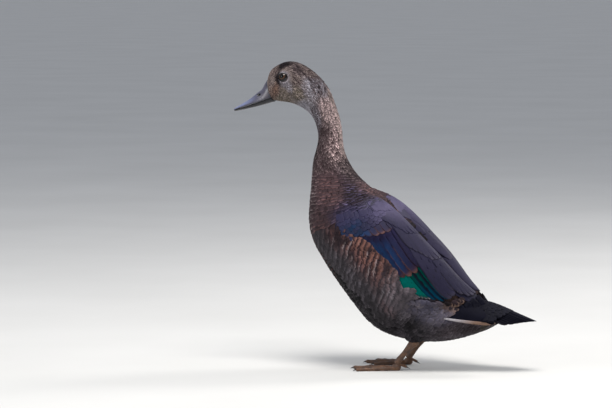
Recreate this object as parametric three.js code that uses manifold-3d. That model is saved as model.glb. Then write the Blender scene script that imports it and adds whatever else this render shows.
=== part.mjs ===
// A standing hen duck, life size, as closed solids that meet with thin gaps.
// Millimetres, +Z up. The duck faces -X, its left side is -Y, and its soles lie on Z = 0.
// The body is one loft from the brow to the tail's root, cut across into head, neck, trunk and
// coverts. Wings, tail, bill, eyes and legs are solids of their own, cut back where they meet it.
import * as THREE from "three";
import { mergeVertices } from "three/addons/utils/BufferGeometryUtils.js";
import Module from "manifold-3d";

const wasm = await Module();
wasm.setup();

const { PI, abs, cos, max, min, sign, sin, sqrt } = Math;
const RAD = PI / 180;

// ---- Driving sizes -------------------------------------------------------------------------

const GAP = 0.3; // left between two pieces that touch

// Stations of the body loft, from the bill's root back to the tail's root. x and z place the
// middle of each cross-section, lean turns it about Y (0 is upright, 90 lies across an upright
// neck), depth is belly to back, width is side to side, heavy above 0 widens the back and below
// 0 the belly side, and square is the superellipse's power.
const STATIONS = [
  { name: "bill_root", x: -153.8, z: 355.0, lean: -9.5, depth: 27.0, width: 21.5, heavy: 0, square: 2.2 },
  { name: "brow", x: -149.0, z: 359.5, lean: -11.0, depth: 38.5, width: 26.5, heavy: -0.04, square: 2.2 },
  { name: "lores", x: -142.5, z: 362.3, lean: -8.0, depth: 45.5, width: 32.0, heavy: -0.06, square: 2.15 },
  { name: "eye", x: -134.5, z: 364.3, lean: -4.5, depth: 50.5, width: 37.0, heavy: -0.08, square: 2.1 },
  { name: "crown", x: -125.0, z: 364.6, lean: -0.7, depth: 53.5, width: 41.0, heavy: -0.08, square: 2.05 },
  { name: "back_crown", x: -113.9, z: 361.4, lean: 6.2, depth: 52.8, width: 42.0, heavy: -0.06, square: 2 },
  { name: "occiput", x: -102.5, z: 355.0, lean: 14.3, depth: 49.3, width: 40.0, heavy: -0.04, square: 2 },
  { name: "nape", x: -93.5, z: 347.5, lean: 23.0, depth: 45.4, width: 37.0, heavy: -0.02, square: 2 },
  { name: "throat", x: -85.8, z: 337.9, lean: 32.5, depth: 40.3, width: 34.5, heavy: 0, square: 2 },
  { name: "neck_top", x: -79.6, z: 324.5, lean: 43.0, depth: 36.0, width: 33.0, heavy: 0, square: 2 },
  { name: "neck_high", x: -74.9, z: 308.8, lean: 59.0, depth: 33.0, width: 31.5, heavy: 0, square: 2 },
  { name: "neck_mid", x: -73.2, z: 293.8, lean: 77.0, depth: 32.0, width: 32.0, heavy: 0, square: 2 },
  { name: "neck_lower", x: -73.5, z: 278.4, lean: 87.0, depth: 36.5, width: 36.5, heavy: 0, square: 2 },
  { name: "neck_low", x: -72.2, z: 263.8, lean: 90.6, depth: 46.0, width: 45.0, heavy: 0, square: 2 },
  { name: "neck_base", x: -67.5, z: 247.4, lean: 89.0, depth: 58.2, width: 57.0, heavy: 0, square: 2 },
  { name: "shoulder", x: -60.0, z: 226.0, lean: 81.0, depth: 77.5, width: 77.0, heavy: 0, square: 2.05 },
  { name: "crop", x: -51.0, z: 200.5, lean: 68.5, depth: 103.0, width: 98.0, heavy: 0, square: 2.1 },
  { name: "breast", x: -39.5, z: 180.0, lean: 59.0, depth: 113.0, width: 108.0, heavy: 0, square: 2.15 },
  { name: "girdle", x: -21.5, z: 154.5, lean: 51.0, depth: 116.0, width: 115.0, heavy: 0, square: 2.15 },
  { name: "middle", x: 4.5, z: 120.5, lean: 46.0, depth: 117.0, width: 118.0, heavy: 0, square: 2.15 },
  { name: "loin", x: 32.0, z: 91.5, lean: 45.0, depth: 115.0, width: 115.0, heavy: 0, square: 2.15 },
  { name: "rump", x: 64.2, z: 72.0, lean: 44.0, depth: 96.0, width: 102.0, heavy: 0, square: 2.1 },
  { name: "vent", x: 96.5, z: 63.0, lean: 41.0, depth: 73.0, width: 84.0, heavy: 0, square: 2.05 },
  { name: "coverts", x: 121.0, z: 62.0, lean: 36.0, depth: 49.0, width: 66.0, heavy: 0, square: 2 },
  { name: "tail_root", x: 138.5, z: 64.5, lean: 28.0, depth: 30.0, width: 50.0, heavy: 0, square: 2 },
  { name: "tail_end", x: 151.0, z: 66.5, lean: 20.0, depth: 12.0, width: 34.0, heavy: 0, square: 2 },
];

// Cuts across the loft, counted in stations.
const HEAD_END = 7.9;
const NECK_END = 14.2;
const TRUNK_END = 22.4;
const CUT = 0.012; // half a cut's width, in stations
const SIDES = 24; // faces round the loft
const RINGS = { head: 16, neck: 9, trunk: 16, coverts: 4 }; // faces along each piece of it

// Folded wing, from the shoulder back to the tip: station along the body, upper and lower edge in
// degrees round from the middle of the back, and thickness at its crest.
const WING = [
  { at: 15.2, upper: 27, lower: 37, thick: 1.5 },
  { at: 16.0, upper: 22, lower: 80, thick: 7.0 },
  { at: 17.0, upper: 18, lower: 98, thick: 11.5 },
  { at: 18.0, upper: 15, lower: 99, thick: 16.5 },
  { at: 19.0, upper: 12, lower: 95, thick: 20.5 },
  { at: 20.0, upper: 10, lower: 86, thick: 20.5 },
  { at: 21.0, upper: 8, lower: 64, thick: 16.0 },
  { at: 22.0, upper: 7, lower: 34, thick: 10.5 },
  { at: 22.8, upper: 10, lower: 16, thick: 5.0 },
];
const WING_CREST = 0.17; // where the crest runs, from the upper edge (0) to the lower edge (1)
const WING_EDGE = 0.2; // lower edge's thickness over the crest's
const WING_SUNK = 2; // depth of the uncut wing inside the trunk

// Closed tail fan, a pitched roof of feathers: distance along X, height of its ridge, half width,
// fall from the ridge to the sides, and thickness at the ridge.
const TAIL = [
  { x: 112, ridge: 92.5, half: 26, fall: 25, thick: 12 },
  { x: 128, ridge: 90.5, half: 30, fall: 26, thick: 11 },
  { x: 145, ridge: 86.5, half: 31, fall: 24, thick: 8 },
  { x: 163, ridge: 79.8, half: 29, fall: 19, thick: 5.5 },
  { x: 178, ridge: 73.5, half: 23, fall: 12, thick: 3.5 },
  { x: 190, ridge: 68.6, half: 15, fall: 5.5, thick: 2.4 },
  { x: 199, ridge: 65.0, half: 5, fall: 1, thick: 1.6 },
];
const TAIL_PITCH = 1.6; // power of the fall across the fan
const TAIL_THIN = 0.7; // share of its thickness the fan loses by its sides

// Bill, from its root out to the tip along its own line: height of the culmen, half width, and
// depth of the lower mandible.
const BILL = [
  { out: 0, culmen: 24.0, half: 10.8, under: 5.6 },
  { out: 9, culmen: 17.6, half: 10.4, under: 5.4 },
  { out: 18, culmen: 12.4, half: 9.8, under: 5.0 },
  { out: 30, culmen: 7.6, half: 9.8, under: 4.2 },
  { out: 42, culmen: 4.6, half: 10.4, under: 3.0 },
  { out: 49, culmen: 3.2, half: 9.6, under: 2.2 },
  { out: 53, culmen: 2.4, half: 6.8, under: 1.6 },
  { out: 54.8, culmen: 1.4, half: 3.0, under: 1.0 },
];
const BILL_ROOT = new THREE.Vector3(-149.5, 0, 344.5);
const BILL_DROOP = 18; // degrees below level
const NOSTRIL = { out: 16, up: 9.4, length: 6, height: 2.6 };
const NAIL = { out: 51.4, up: 0.6, long: 4.2, half: 3.6, deep: 2.3 };

const EYE = { x: -131, y: 14.6, z: 371.5, radius: 6.4 };

// Legs, given for the left side: the hock is sunk in the belly's feathers, and the foot points ahead.
const HIP = { x: 27, y: 30, z: 74, radius: 22 };
const HOCK = { x: 45, y: 29, z: 41, radius: 6.6 };
const ANKLE = { x: 23, y: 31, z: 9, radius: 4.0 };
const TARSUS_WAIST = 3.3;
const TOES = [
  { name: "inner", length: 45, splay: -25, radius: 2.9, joints: 2 },
  { name: "middle", length: 56, splay: 0, radius: 3.2, joints: 3 },
  { name: "outer", length: 52, splay: 25, radius: 2.9, joints: 4 },
];
const WEB = { thick: 1.3, reach: 0.97, scallop: 0.12 };
const HALLUX = { x: 36, y: 27, z: 4.6, radius: 1.9 };
const CLAW = { length: 6, radius: 1.5 };

const FEATHER = { brown: "#6b5845", neck: "#755f4c", dark: "#4a4046", tail: "#3b322c", vent: "#5d5040" };
const HORN = { bill: "#565e6b", mandible: "#3b3d42", nail: "#26262a", leg: "#7a5a3c", claw: "#2c2622" };
const IRIS = "#3a2415";

// ---- Curves and surfaces -------------------------------------------------------------------

// Values of a natural cubic spline through rows[0], rows[1]..., as a function of a place in rows.
function smooth(rows, keys) {
  const last = rows.length - 1;
  const bends = keys.map((key) => {
    const bend = new Array(last + 1).fill(0);
    const share = new Array(last + 1).fill(0);
    for (let i = 1; i < last; i += 1) {
      const pull = 6 * (rows[i + 1][key] - 2 * rows[i][key] + rows[i - 1][key]);
      share[i] = 1 / (4 - share[i - 1]);
      bend[i] = (pull - bend[i - 1]) * share[i];
    }
    for (let i = last - 1; i > 0; i -= 1) bend[i] -= share[i] * bend[i + 1];
    return bend;
  });
  return (place) => {
    const i = min(last - 1, max(0, Math.floor(place)));
    const u = place - i;
    const values = {};
    keys.forEach((key, k) => {
      const curve = (2 - u) * bends[k][i] + (1 + u) * bends[k][i + 1];
      values[key] = (1 - u) * rows[i][key] + u * rows[i + 1][key] - (u * (1 - u) * curve) / 6;
    });
    return values;
  };
}

const power = (value, exponent) => sign(value) * abs(value) ** exponent;
const steps = (from, to, count) => Array.from({ length: count + 1 }, (_, i) => from + ((to - from) * i) / count);

const station = smooth(STATIONS, ["x", "z", "lean", "depth", "width", "heavy", "square"]);
const wingRow = smooth(WING, ["at", "upper", "lower", "thick"]);
const tailRow = smooth(TAIL, ["x", "ridge", "half", "fall", "thick"]);
const billRow = smooth(BILL, ["out", "culmen", "half", "under"]);

// Point of the body's surface, at a station and at an angle round from the middle of the back,
// positive towards the left side.
function bodyPoint(at, angle) {
  const s = station(at);
  const bend = 2 / s.square;
  const up = (s.depth / 2) * power(cos(angle), bend);
  const out = (s.width / 2) * power(sin(angle), bend) * (1 + s.heavy * cos(angle));
  return new THREE.Vector3(s.x + up * sin(s.lean * RAD), -out, s.z + up * cos(s.lean * RAD));
}

// The same point moved out along the surface's normal.
function bodySkin(at, angle, out) {
  const nudge = 1e-3;
  const along = bodyPoint(at + nudge, angle).sub(bodyPoint(at - nudge, angle));
  const round = bodyPoint(at, angle + nudge).sub(bodyPoint(at, angle - nudge));
  return bodyPoint(at, angle).addScaledVector(round.cross(along).normalize(), out);
}

// A closed solid through rings of equally many points, its ends closed by a point in the middle.
function ringed(rings) {
  const count = rings[0].length;
  const points = rings.flat();
  const faces = [];
  for (let i = 0; i + 1 < rings.length; i += 1) {
    for (let j = 0; j < count; j += 1) {
      const a = i * count + j;
      const b = i * count + ((j + 1) % count);
      faces.push(a, b, b + count, a, b + count, a + count);
    }
  }
  for (const end of [0, rings.length - 1]) {
    const middle = new THREE.Vector3();
    rings[end].forEach((point) => middle.addScaledVector(point, 1 / count));
    points.push(middle);
    for (let j = 0; j < count; j += 1) {
      const a = end * count + j;
      const b = end * count + ((j + 1) % count);
      faces.push(...(end === 0 ? [b, a] : [a, b]), points.length - 1);
    }
  }
  return toSolid(points, faces);
}

// A manifold solid from points and triangles, turned outside out if its volume comes out negative.
function toSolid(points, faces) {
  let volume = 0;
  for (let i = 0; i < faces.length; i += 3) {
    const [a, b, c] = [points[faces[i]], points[faces[i + 1]], points[faces[i + 2]]];
    volume += a.dot(b.clone().cross(c));
  }
  const turned = volume < 0 ? faces.slice().reverse() : faces;
  const geometry = new THREE.BufferGeometry().setFromPoints(points).setIndex(turned);
  return fromGeometry(geometry);
}

function fromGeometry(geometry) {
  geometry.deleteAttribute("normal");
  geometry.deleteAttribute("uv");
  const merged = mergeVertices(geometry, 1e-4);
  return new wasm.Manifold(
    new wasm.Mesh({
      numProp: 3,
      vertProperties: new Float32Array(merged.attributes.position.array),
      triVerts: new Uint32Array(merged.index.array),
    }),
  );
}

// A round bar through a list of middles with a radius at each.
function bar(middles, sides) {
  const path = middles.map((m) => new THREE.Vector3(m.x, m.y, m.z));
  const rings = path.map((point, i) => {
    const ahead = path[min(i + 1, path.length - 1)].clone().sub(path[max(i - 1, 0)]).normalize();
    const across = new THREE.Vector3(0, 1, 0).cross(ahead).normalize();
    const other = ahead.clone().cross(across);
    return steps(0, 2 * PI, sides).slice(0, sides).map((angle) =>
      point.clone()
        .addScaledVector(across, middles[i].radius * cos(angle))
        .addScaledVector(other, middles[i].radius * sin(angle)));
  });
  return ringed(rings);
}

function ellipsoid(centre, halves, columns, rows, turn = 0) {
  const geometry = new THREE.SphereGeometry(1, columns, rows);
  geometry.scale(halves.x, halves.y, halves.z).rotateY(turn).translate(centre.x, centre.y, centre.z);
  return fromGeometry(geometry);
}

// ---- Head, neck, trunk and coverts ---------------------------------------------------------

function loft(from, to, rows, out = 0) {
  const angles = steps(0, 2 * PI, SIDES).slice(0, SIDES);
  return ringed(steps(from, to, rows).map((at) => angles.map((angle) => bodySkin(at, angle, out))));
}

const trunk = (out) => loft(NECK_END + CUT, TRUNK_END - CUT, RINGS.trunk, out);
const coverts = (out) => loft(TRUNK_END + CUT, STATIONS.length - 1, RINGS.coverts, out);

const eyeBall = (side, grown = 0) =>
  ellipsoid(
    { x: EYE.x, y: side * EYE.y, z: EYE.z },
    { x: EYE.radius + grown, y: EYE.radius + grown, z: EYE.radius + grown },
    12,
    8,
  );

function head() {
  let solid = loft(0, HEAD_END - CUT, RINGS.head);
  for (const side of [-1, 1]) solid = solid.subtract(eyeBall(side, GAP));
  return solid;
}

// ---- Bill ------------------------------------------------------------------------------------

// A point beside the bill's own line: out along it, across to the left, and up square to it.
function billPoint(out, across, up) {
  const droop = BILL_DROOP * RAD;
  return new THREE.Vector3(-out * cos(droop) - up * sin(droop), -across, -out * sin(droop) + up * cos(droop))
    .add(BILL_ROOT);
}

// One half of the bill: an arch over (or under) a flat that lies half a gap off the mouth's line.
function mandible(isUpper) {
  const arch = steps(-PI / 2, PI / 2, 8);
  const rings = steps(0, BILL.length - 1, 14).map((place) => {
    const row = billRow(place);
    const half = isUpper ? row.half : row.half * 0.82;
    return arch.map((angle) => {
      const up = isUpper
        ? row.culmen * max(0, cos(angle)) ** 1.1 + GAP / 2
        : -row.under * max(0, cos(angle)) ** 0.7 - GAP / 2;
      return billPoint(row.out, half * sin(angle), up);
    });
  });
  return ringed(rings);
}

const billNail = (grown = 0) =>
  ellipsoid(
    billPoint(NAIL.out, 0, NAIL.up),
    { x: NAIL.long + grown, y: NAIL.half + grown, z: NAIL.deep + grown },
    12,
    7,
    -BILL_DROOP * RAD,
  );

function upperBill(headSolid) {
  const { out, up, length, height } = NOSTRIL;
  let solid = mandible(true).subtract(headSolid).subtract(billNail(GAP));
  for (const side of [-1, 1]) {
    const row = billRow(2 * (out / 18));
    const beside = side * row.half * sqrt(max(0, 1 - (up / row.culmen) ** 2)) * 1.02;
    const pit = { x: length / 2, y: 1.6, z: height / 2 };
    solid = solid.subtract(ellipsoid(billPoint(out, beside, up), pit, 10, 6, -2 * BILL_DROOP * RAD));
  }
  return solid;
}

// ---- Folded wings ----------------------------------------------------------------------------

// Share of the crest's thickness, from the wing's upper edge (0) to its lower edge (1).
function wingSwell(down) {
  if (down < WING_CREST) return sqrt(1 - (1 - down / WING_CREST) ** 2);
  return 1 - (1 - WING_EDGE) * ((down - WING_CREST) / (1 - WING_CREST)) ** 0.9;
}

function wing(side) {
  const across = [0, 0.02, 0.07, WING_CREST, ...steps(0.32, 1, 5)];
  const under = steps(1, 0, 4);
  const rings = steps(0, WING.length - 1, 16).map((place) => {
    const row = wingRow(place);
    const point = (down, out) => bodySkin(row.at, side * RAD * (row.upper + down * (row.lower - row.upper)), out);
    return [
      ...across.map((down) => point(down, row.thick * wingSwell(down))),
      ...under.map((down) => point(down, -WING_SUNK)),
    ];
  });
  return ringed(rings);
}

// ---- Tail --------------------------------------------------------------------------------------

function tail(grown = 0) {
  const across = steps(-1, 1, 8);
  const rings = steps(0, TAIL.length - 1, 10).map((place) => {
    const row = tailRow(place);
    const roof = (v) => row.ridge - row.fall * abs(v) ** TAIL_PITCH;
    const half = row.half + grown;
    return [
      ...across.map((v) => new THREE.Vector3(row.x, -v * half, roof(v) + grown)),
      ...across.map((v) => new THREE.Vector3(row.x, v * half, roof(v) - row.thick * (1 - TAIL_THIN * v * v) - grown)),
    ];
  });
  return ringed(rings);
}

// ---- Legs and feet -----------------------------------------------------------------------------

// Middles of a straight bar between two places, with a waist halfway.
function legMiddles(from, to, side, waist, grown) {
  return steps(0, 1, 4).map((u) => {
    const straight = from.radius + u * (to.radius - from.radius);
    const dip = (straight - waist) * sin(PI * u) ** 2;
    return {
      x: from.x + u * (to.x - from.x),
      y: side * (from.y + u * (to.y - from.y)),
      z: from.z + u * (to.z - from.z),
      radius: straight - dip + grown,
    };
  });
}

function shank(side, grown = 0) {
  return bar(legMiddles(HIP, HOCK, side, (HIP.radius + HOCK.radius) / 2, grown), 12);
}

const hock = (side, grown = 0) => {
  const size = { x: 6.4 + grown, y: 5 + grown, z: 5.8 + grown };
  return ellipsoid({ x: HOCK.x + 1, y: side * HOCK.y, z: HOCK.z - 5 }, size, 8, 6);
};

function tarsus(side, grown = 0) {
  const top = { ...HOCK, z: HOCK.z - 5, x: HOCK.x - 1, radius: 4.6 };
  return bar(legMiddles(top, ANKLE, side, TARSUS_WAIST, grown), 8).add(hock(side, grown));
}

// A point of the foot: a distance ahead of the ankle, at a splay in degrees outwards.
function footPoint(side, length, splay, z) {
  return {
    x: ANKLE.x - length * cos(splay * RAD),
    y: side * (ANKLE.y + length * sin(splay * RAD)),
    z,
  };
}

function toe(side, { length, splay, radius, joints }) {
  const middles = steps(0, 1, 8).map((u) => {
    const knuckle = 1 + 0.12 * cos(PI * joints * u) ** 6;
    const r = radius * (1.15 - 0.45 * u) * knuckle;
    return { ...footPoint(side, length * u, splay, r * 0.8), radius: r };
  });
  return bar(middles, 6);
}

// Length of the web along a splay, drawn in between the toes.
function webLength(splay) {
  const share = abs(splay) / TOES[2].splay;
  const side = splay < 0 ? TOES[0] : TOES[2];
  const straight = TOES[1].length + (side.length - TOES[1].length) * share;
  return straight * WEB.reach * (1 - WEB.scallop * sin(PI * share) ** 2);
}

function web(side) {
  const edge = steps(TOES[0].splay, TOES[2].splay, 8);
  const outline = [footPoint(side, 0, 0, 0), ...edge.map((splay) => footPoint(side, webLength(splay), splay, 0))];
  const shape = new THREE.Shape(outline.map((point) => new THREE.Vector2(point.x, point.y)));
  return fromGeometry(new THREE.ExtrudeGeometry(shape, { depth: WEB.thick, bevelEnabled: false }));
}

const tipOf = (side, toeRow, beyond) => footPoint(side, toeRow.length + beyond, toeRow.splay, 0);

// A claw curves down from a toe's end to a point just clear of the floor.
function claw(side, toeRow, grown = 0) {
  const middles = steps(0, 1, 3).map((u) => ({
    ...tipOf(side, toeRow, -1.5 + CLAW.length * u),
    z: 2.3 - 1.6 * u * u,
    radius: CLAW.radius * (1 - 0.75 * u) + grown,
  }));
  return bar(middles, 6);
}

function halluxMiddles(side, grown) {
  return steps(0, 1, 3).map((u) => ({
    x: ANKLE.x + 2 + (HALLUX.x - ANKLE.x - 2) * u,
    y: side * (ANKLE.y - 1 + (HALLUX.y - ANKLE.y + 1) * u),
    z: ANKLE.z + (HALLUX.z - ANKLE.z) * u,
    radius: HALLUX.radius * (1.1 - 0.3 * u) + grown,
  }));
}

const hallux = (side, grown = 0) => bar(halluxMiddles(side, grown), 6);

function halluxClaw(side, grown = 0) {
  const middles = steps(0, 1, 3).map((u) => ({
    x: HALLUX.x - 1 + 5 * u,
    y: side * (HALLUX.y - u),
    z: HALLUX.z - 1.2 * u - 1.4 * u * u,
    radius: 1.1 * (1 - 0.7 * u) + grown,
  }));
  return bar(middles, 6);
}

const aboveFloor = fromGeometry(new THREE.BoxGeometry(200, 200, 60).translate(0, 0, 30));

function foot(side) {
  const heel = ellipsoid({ x: ANKLE.x, y: side * ANKLE.y, z: 4.2 }, { x: 6, y: 5, z: 5.4 }, 8, 5);
  let solid = web(side).add(heel);
  for (const row of TOES) solid = solid.add(toe(side, row));
  solid = solid.intersect(aboveFloor).subtract(tarsus(side, GAP)).subtract(hallux(side, GAP));
  for (const row of TOES) solid = solid.subtract(claw(side, row, GAP));
  return solid;
}

// ---- The duck ----------------------------------------------------------------------------------

const duck = new THREE.Group();

function place(name, solid, color, roughness = 0.9, metalness = 0) {
  const cut = solid.getMesh();
  const geometry = new THREE.BufferGeometry();
  geometry.setAttribute("position", new THREE.BufferAttribute(new Float32Array(cut.vertProperties), 3));
  geometry.setIndex(new THREE.BufferAttribute(new Uint32Array(cut.triVerts), 1));
  geometry.computeVertexNormals();
  const mesh = new THREE.Mesh(geometry, new THREE.MeshStandardMaterial({ color, roughness, metalness }));
  mesh.name = name;
  duck.add(mesh);
}

const grownHead = loft(-0.02, 4, 8, GAP);
// Trunk and coverts a gap thicker, with their own rings so that the gap holds all over them.
const grownBody = trunk(GAP).add(coverts(GAP)).add(loft(TRUNK_END - 4 * CUT, TRUNK_END + 4 * CUT, 1, GAP));
const grownTail = tail(GAP);

place("head", head(), FEATHER.brown);
place("neck", loft(HEAD_END + CUT, NECK_END - CUT, RINGS.neck), FEATHER.neck);
place("trunk", trunk(), FEATHER.brown);
place("tail_coverts", coverts(), FEATHER.vent);
place("tail", tail().subtract(grownBody), FEATHER.tail, 0.7);
place("bill_upper", upperBill(grownHead), HORN.bill, 0.35);
place("bill_lower", mandible(false).subtract(grownHead).subtract(billNail(GAP)), HORN.mandible, 0.45);
place("bill_nail", billNail(), HORN.nail, 0.3);

for (const [sideName, side] of [["left", -1], ["right", 1]]) {
  place(`eye_${sideName}`, eyeBall(side), IRIS, 0.05);
  place(`wing_${sideName}`, wing(-side).subtract(grownBody).subtract(grownTail), FEATHER.dark, 0.6);
  place(`shank_${sideName}`, shank(side).subtract(grownBody).subtract(tarsus(side, GAP)), FEATHER.vent);
  place(`tarsus_${sideName}`, tarsus(side).subtract(grownBody), HORN.leg, 0.5);
  place(`foot_${sideName}`, foot(side), HORN.leg, 0.5);
  place(`hallux_${sideName}`, hallux(side).subtract(tarsus(side, GAP)), HORN.leg, 0.5);
  place(`hallux_claw_${sideName}`, halluxClaw(side).subtract(hallux(side, GAP)), HORN.claw, 0.4);
  for (const row of TOES) place(`claw_${row.name}_${sideName}`, claw(side, row), HORN.claw, 0.4);
}

export default duck;
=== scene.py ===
import math

import bpy
import numpy as np
from bpy.props import FloatProperty, FloatVectorProperty, IntProperty, PointerProperty
from bpy.types import Operator, Panel, PropertyGroup
from mathutils import Matrix, Vector


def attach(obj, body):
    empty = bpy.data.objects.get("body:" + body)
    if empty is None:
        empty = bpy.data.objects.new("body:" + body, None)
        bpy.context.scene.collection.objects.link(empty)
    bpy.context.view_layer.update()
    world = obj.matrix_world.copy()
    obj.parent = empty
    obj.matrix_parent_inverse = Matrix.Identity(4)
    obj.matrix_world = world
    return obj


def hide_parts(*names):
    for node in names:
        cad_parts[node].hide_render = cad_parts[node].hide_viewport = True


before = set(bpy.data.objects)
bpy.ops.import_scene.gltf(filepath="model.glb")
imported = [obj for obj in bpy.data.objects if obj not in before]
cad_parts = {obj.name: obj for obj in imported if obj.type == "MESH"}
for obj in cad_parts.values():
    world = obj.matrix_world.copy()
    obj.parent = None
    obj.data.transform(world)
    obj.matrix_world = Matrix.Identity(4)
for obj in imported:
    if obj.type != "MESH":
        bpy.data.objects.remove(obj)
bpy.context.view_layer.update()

bl_info = {
    "name": "Standing Hen Duck",
    "version": (1, 0, 0),
    "blender": (4, 5, 0),
    "location": "View3D > Sidebar > Duck",
    "description": "Skin, bill, eyes, legs and feathers of a life-size standing hen duck",
    "category": "Add Mesh",
}

MM = 0.001
BODY = "root"
SIDES = (("left", 1), ("right", -1))  # an angle round the back is positive on the left side

# ---- Sizes of the duck, the same as in the part's source, in millimetres and degrees ----

# Stations of the body: x, z, lean, depth, width, heavy, square.
STATIONS = {
    "bill_root": (-153.8, 355.0, -9.5, 27.0, 21.5, 0, 2.2),
    "brow": (-149.0, 359.5, -11.0, 38.5, 26.5, -0.04, 2.2),
    "lores": (-142.5, 362.3, -8.0, 45.5, 32.0, -0.06, 2.15),
    "eye": (-134.5, 364.3, -4.5, 50.5, 37.0, -0.08, 2.1),
    "crown": (-125.0, 364.6, -0.7, 53.5, 41.0, -0.08, 2.05),
    "back_crown": (-113.9, 361.4, 6.2, 52.8, 42.0, -0.06, 2),
    "occiput": (-102.5, 355.0, 14.3, 49.3, 40.0, -0.04, 2),
    "nape": (-93.5, 347.5, 23.0, 45.4, 37.0, -0.02, 2),
    "throat": (-85.8, 337.9, 32.5, 40.3, 34.5, 0, 2),
    "neck_top": (-79.6, 324.5, 43.0, 36.0, 33.0, 0, 2),
    "neck_high": (-74.9, 308.8, 59.0, 33.0, 31.5, 0, 2),
    "neck_mid": (-73.2, 293.8, 77.0, 32.0, 32.0, 0, 2),
    "neck_lower": (-73.5, 278.4, 87.0, 36.5, 36.5, 0, 2),
    "neck_low": (-72.2, 263.8, 90.6, 46.0, 45.0, 0, 2),
    "neck_base": (-67.5, 247.4, 89.0, 58.2, 57.0, 0, 2),
    "shoulder": (-60.0, 226.0, 81.0, 77.5, 77.0, 0, 2.05),
    "crop": (-51.0, 200.5, 68.5, 103.0, 98.0, 0, 2.1),
    "breast": (-39.5, 180.0, 59.0, 113.0, 108.0, 0, 2.15),
    "girdle": (-21.5, 154.5, 51.0, 116.0, 115.0, 0, 2.15),
    "middle": (4.5, 120.5, 46.0, 117.0, 118.0, 0, 2.15),
    "loin": (32.0, 91.5, 45.0, 115.0, 115.0, 0, 2.15),
    "rump": (64.2, 72.0, 44.0, 96.0, 102.0, 0, 2.1),
    "vent": (96.5, 63.0, 41.0, 73.0, 84.0, 0, 2.05),
    "coverts": (121.0, 62.0, 36.0, 49.0, 66.0, 0, 2),
    "tail_root": (138.5, 64.5, 28.0, 30.0, 50.0, 0, 2),
    "tail_end": (151.0, 66.5, 20.0, 12.0, 34.0, 0, 2),
}
# Folded wing: station, upper and lower edge in degrees round from the back, thickness at the crest.
WING = (
    (15.2, 27, 37, 1.5),
    (16.0, 22, 80, 7.0),
    (17.0, 18, 98, 11.5),
    (18.0, 15, 99, 16.5),
    (19.0, 12, 95, 20.5),
    (20.0, 10, 86, 20.5),
    (21.0, 8, 64, 16.0),
    (22.0, 7, 34, 10.5),
    (22.8, 10, 16, 5.0),
)
WING_CREST, WING_EDGE = 0.17, 0.2
# Tail fan: x, height of the ridge, half width, fall to the sides, thickness.
TAIL = (
    (112, 92.5, 26, 25, 12),
    (128, 90.5, 30, 26, 11),
    (145, 86.5, 31, 24, 8),
    (163, 79.8, 29, 19, 5.5),
    (178, 73.5, 23, 12, 3.5),
    (190, 68.6, 15, 5.5, 2.4),
    (199, 65.0, 5, 1, 1.6),
)
TAIL_PITCH = 1.6
# Bill: distance out along it, height of the culmen, half width, depth of the lower mandible.
BILL = (
    (0, 24.0, 10.8, 5.6),
    (9, 17.6, 10.4, 5.4),
    (18, 12.4, 9.8, 5.0),
    (30, 7.6, 9.8, 4.2),
    (42, 4.6, 10.4, 3.0),
    (49, 3.2, 9.6, 2.2),
    (53, 2.4, 6.8, 1.6),
    (54.8, 1.4, 3.0, 1.0),
)
BILL_ROOT = np.array([-149.5, 0.0, 344.5])
BILL_DROOP = math.radians(18)
MOUTH_GAP = 0.3
NOSTRIL = (15.6, 8.6, 2.9, 1.5)  # out, up, half length, half height
NAIL = (51.4, 0.6, 4.2, 3.6, 2.3)  # out, up, half length, half width, half depth
EYE = np.array([-131.0, 14.6, 371.5])
EYE_RADIUS = 6.4
# Legs, for the left side: x, distance from the middle, z, radius.
HOCK = (45, 29, 41, 6.6)
ANKLE = (23, 31, 9, 4.0)
TARSUS_WAIST = 3.3
TOES = {"inner": (45, -25, 2.9, 2), "middle": (56, 0, 3.2, 3), "outer": (52, 25, 2.9, 4)}
WEB_THICK, WEB_REACH, WEB_SCALLOP = 1.3, 0.97, 0.12
HALLUX = (36, 27, 4.6, 1.9)
CLAW_LENGTH, CLAW_RADIUS = 6, 1.5


# ---- Curves and surfaces ----


def power(value, exponent):
    return np.sign(value) * np.abs(value) ** exponent


def unit(vectors):
    return vectors / np.maximum(np.linalg.norm(vectors, axis=-1, keepdims=True), 1e-9)


def soft_step(low, high, value):
    """0 below low, 1 above high, and a smooth cubic between them."""
    share = np.clip((value - low) / (high - low), 0, 1)
    return share * share * (3 - 2 * share)


def soft_fall(low, high, value):
    """1 below low, 0 above high."""
    return 1 - soft_step(low, high, value)


def bell(value, middle, width):
    """1 at the middle, and falling off as a bell on both sides of it."""
    return np.exp(-((value - middle) / width) ** 2)


def full_turn(count):
    """Angles evenly round a circle."""
    return np.linspace(0, 2 * np.pi, count, endpoint=False)


def wrapped(angle):
    """The same angle, between minus and plus half a turn."""
    return (angle + np.pi) % (2 * np.pi) - np.pi


def turned(angle):
    """Degrees round from the middle of the back, on either side."""
    return np.degrees(np.abs(wrapped(angle)))


class Curve:
    """A natural cubic spline through rows of numbers, read at any place counted in rows."""

    def __init__(self, rows):
        self.rows = np.array(list(rows), float)
        self.last = len(self.rows) - 1
        system = np.eye(self.last + 1)
        pull = np.zeros_like(self.rows)
        for i in range(1, self.last):
            system[i, i - 1:i + 2] = (1, 4, 1)
            pull[i] = 6 * (self.rows[i + 1] - 2 * self.rows[i] + self.rows[i - 1])
        self.bends = np.linalg.solve(system, pull)

    def __call__(self, place):
        """Each row pulls by its nearness, and the bends add a cubic that keeps the curve smooth."""
        place = np.asarray(place, float)
        i = np.clip(np.floor(place).astype(int), 0, self.last - 1)
        u = (place - i)[..., None]
        sag = (2 - u) * self.bends[i] + (1 + u) * self.bends[i + 1]
        return (1 - u) * self.rows[i] + u * self.rows[i + 1] - u * (1 - u) * sag / 6


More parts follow.
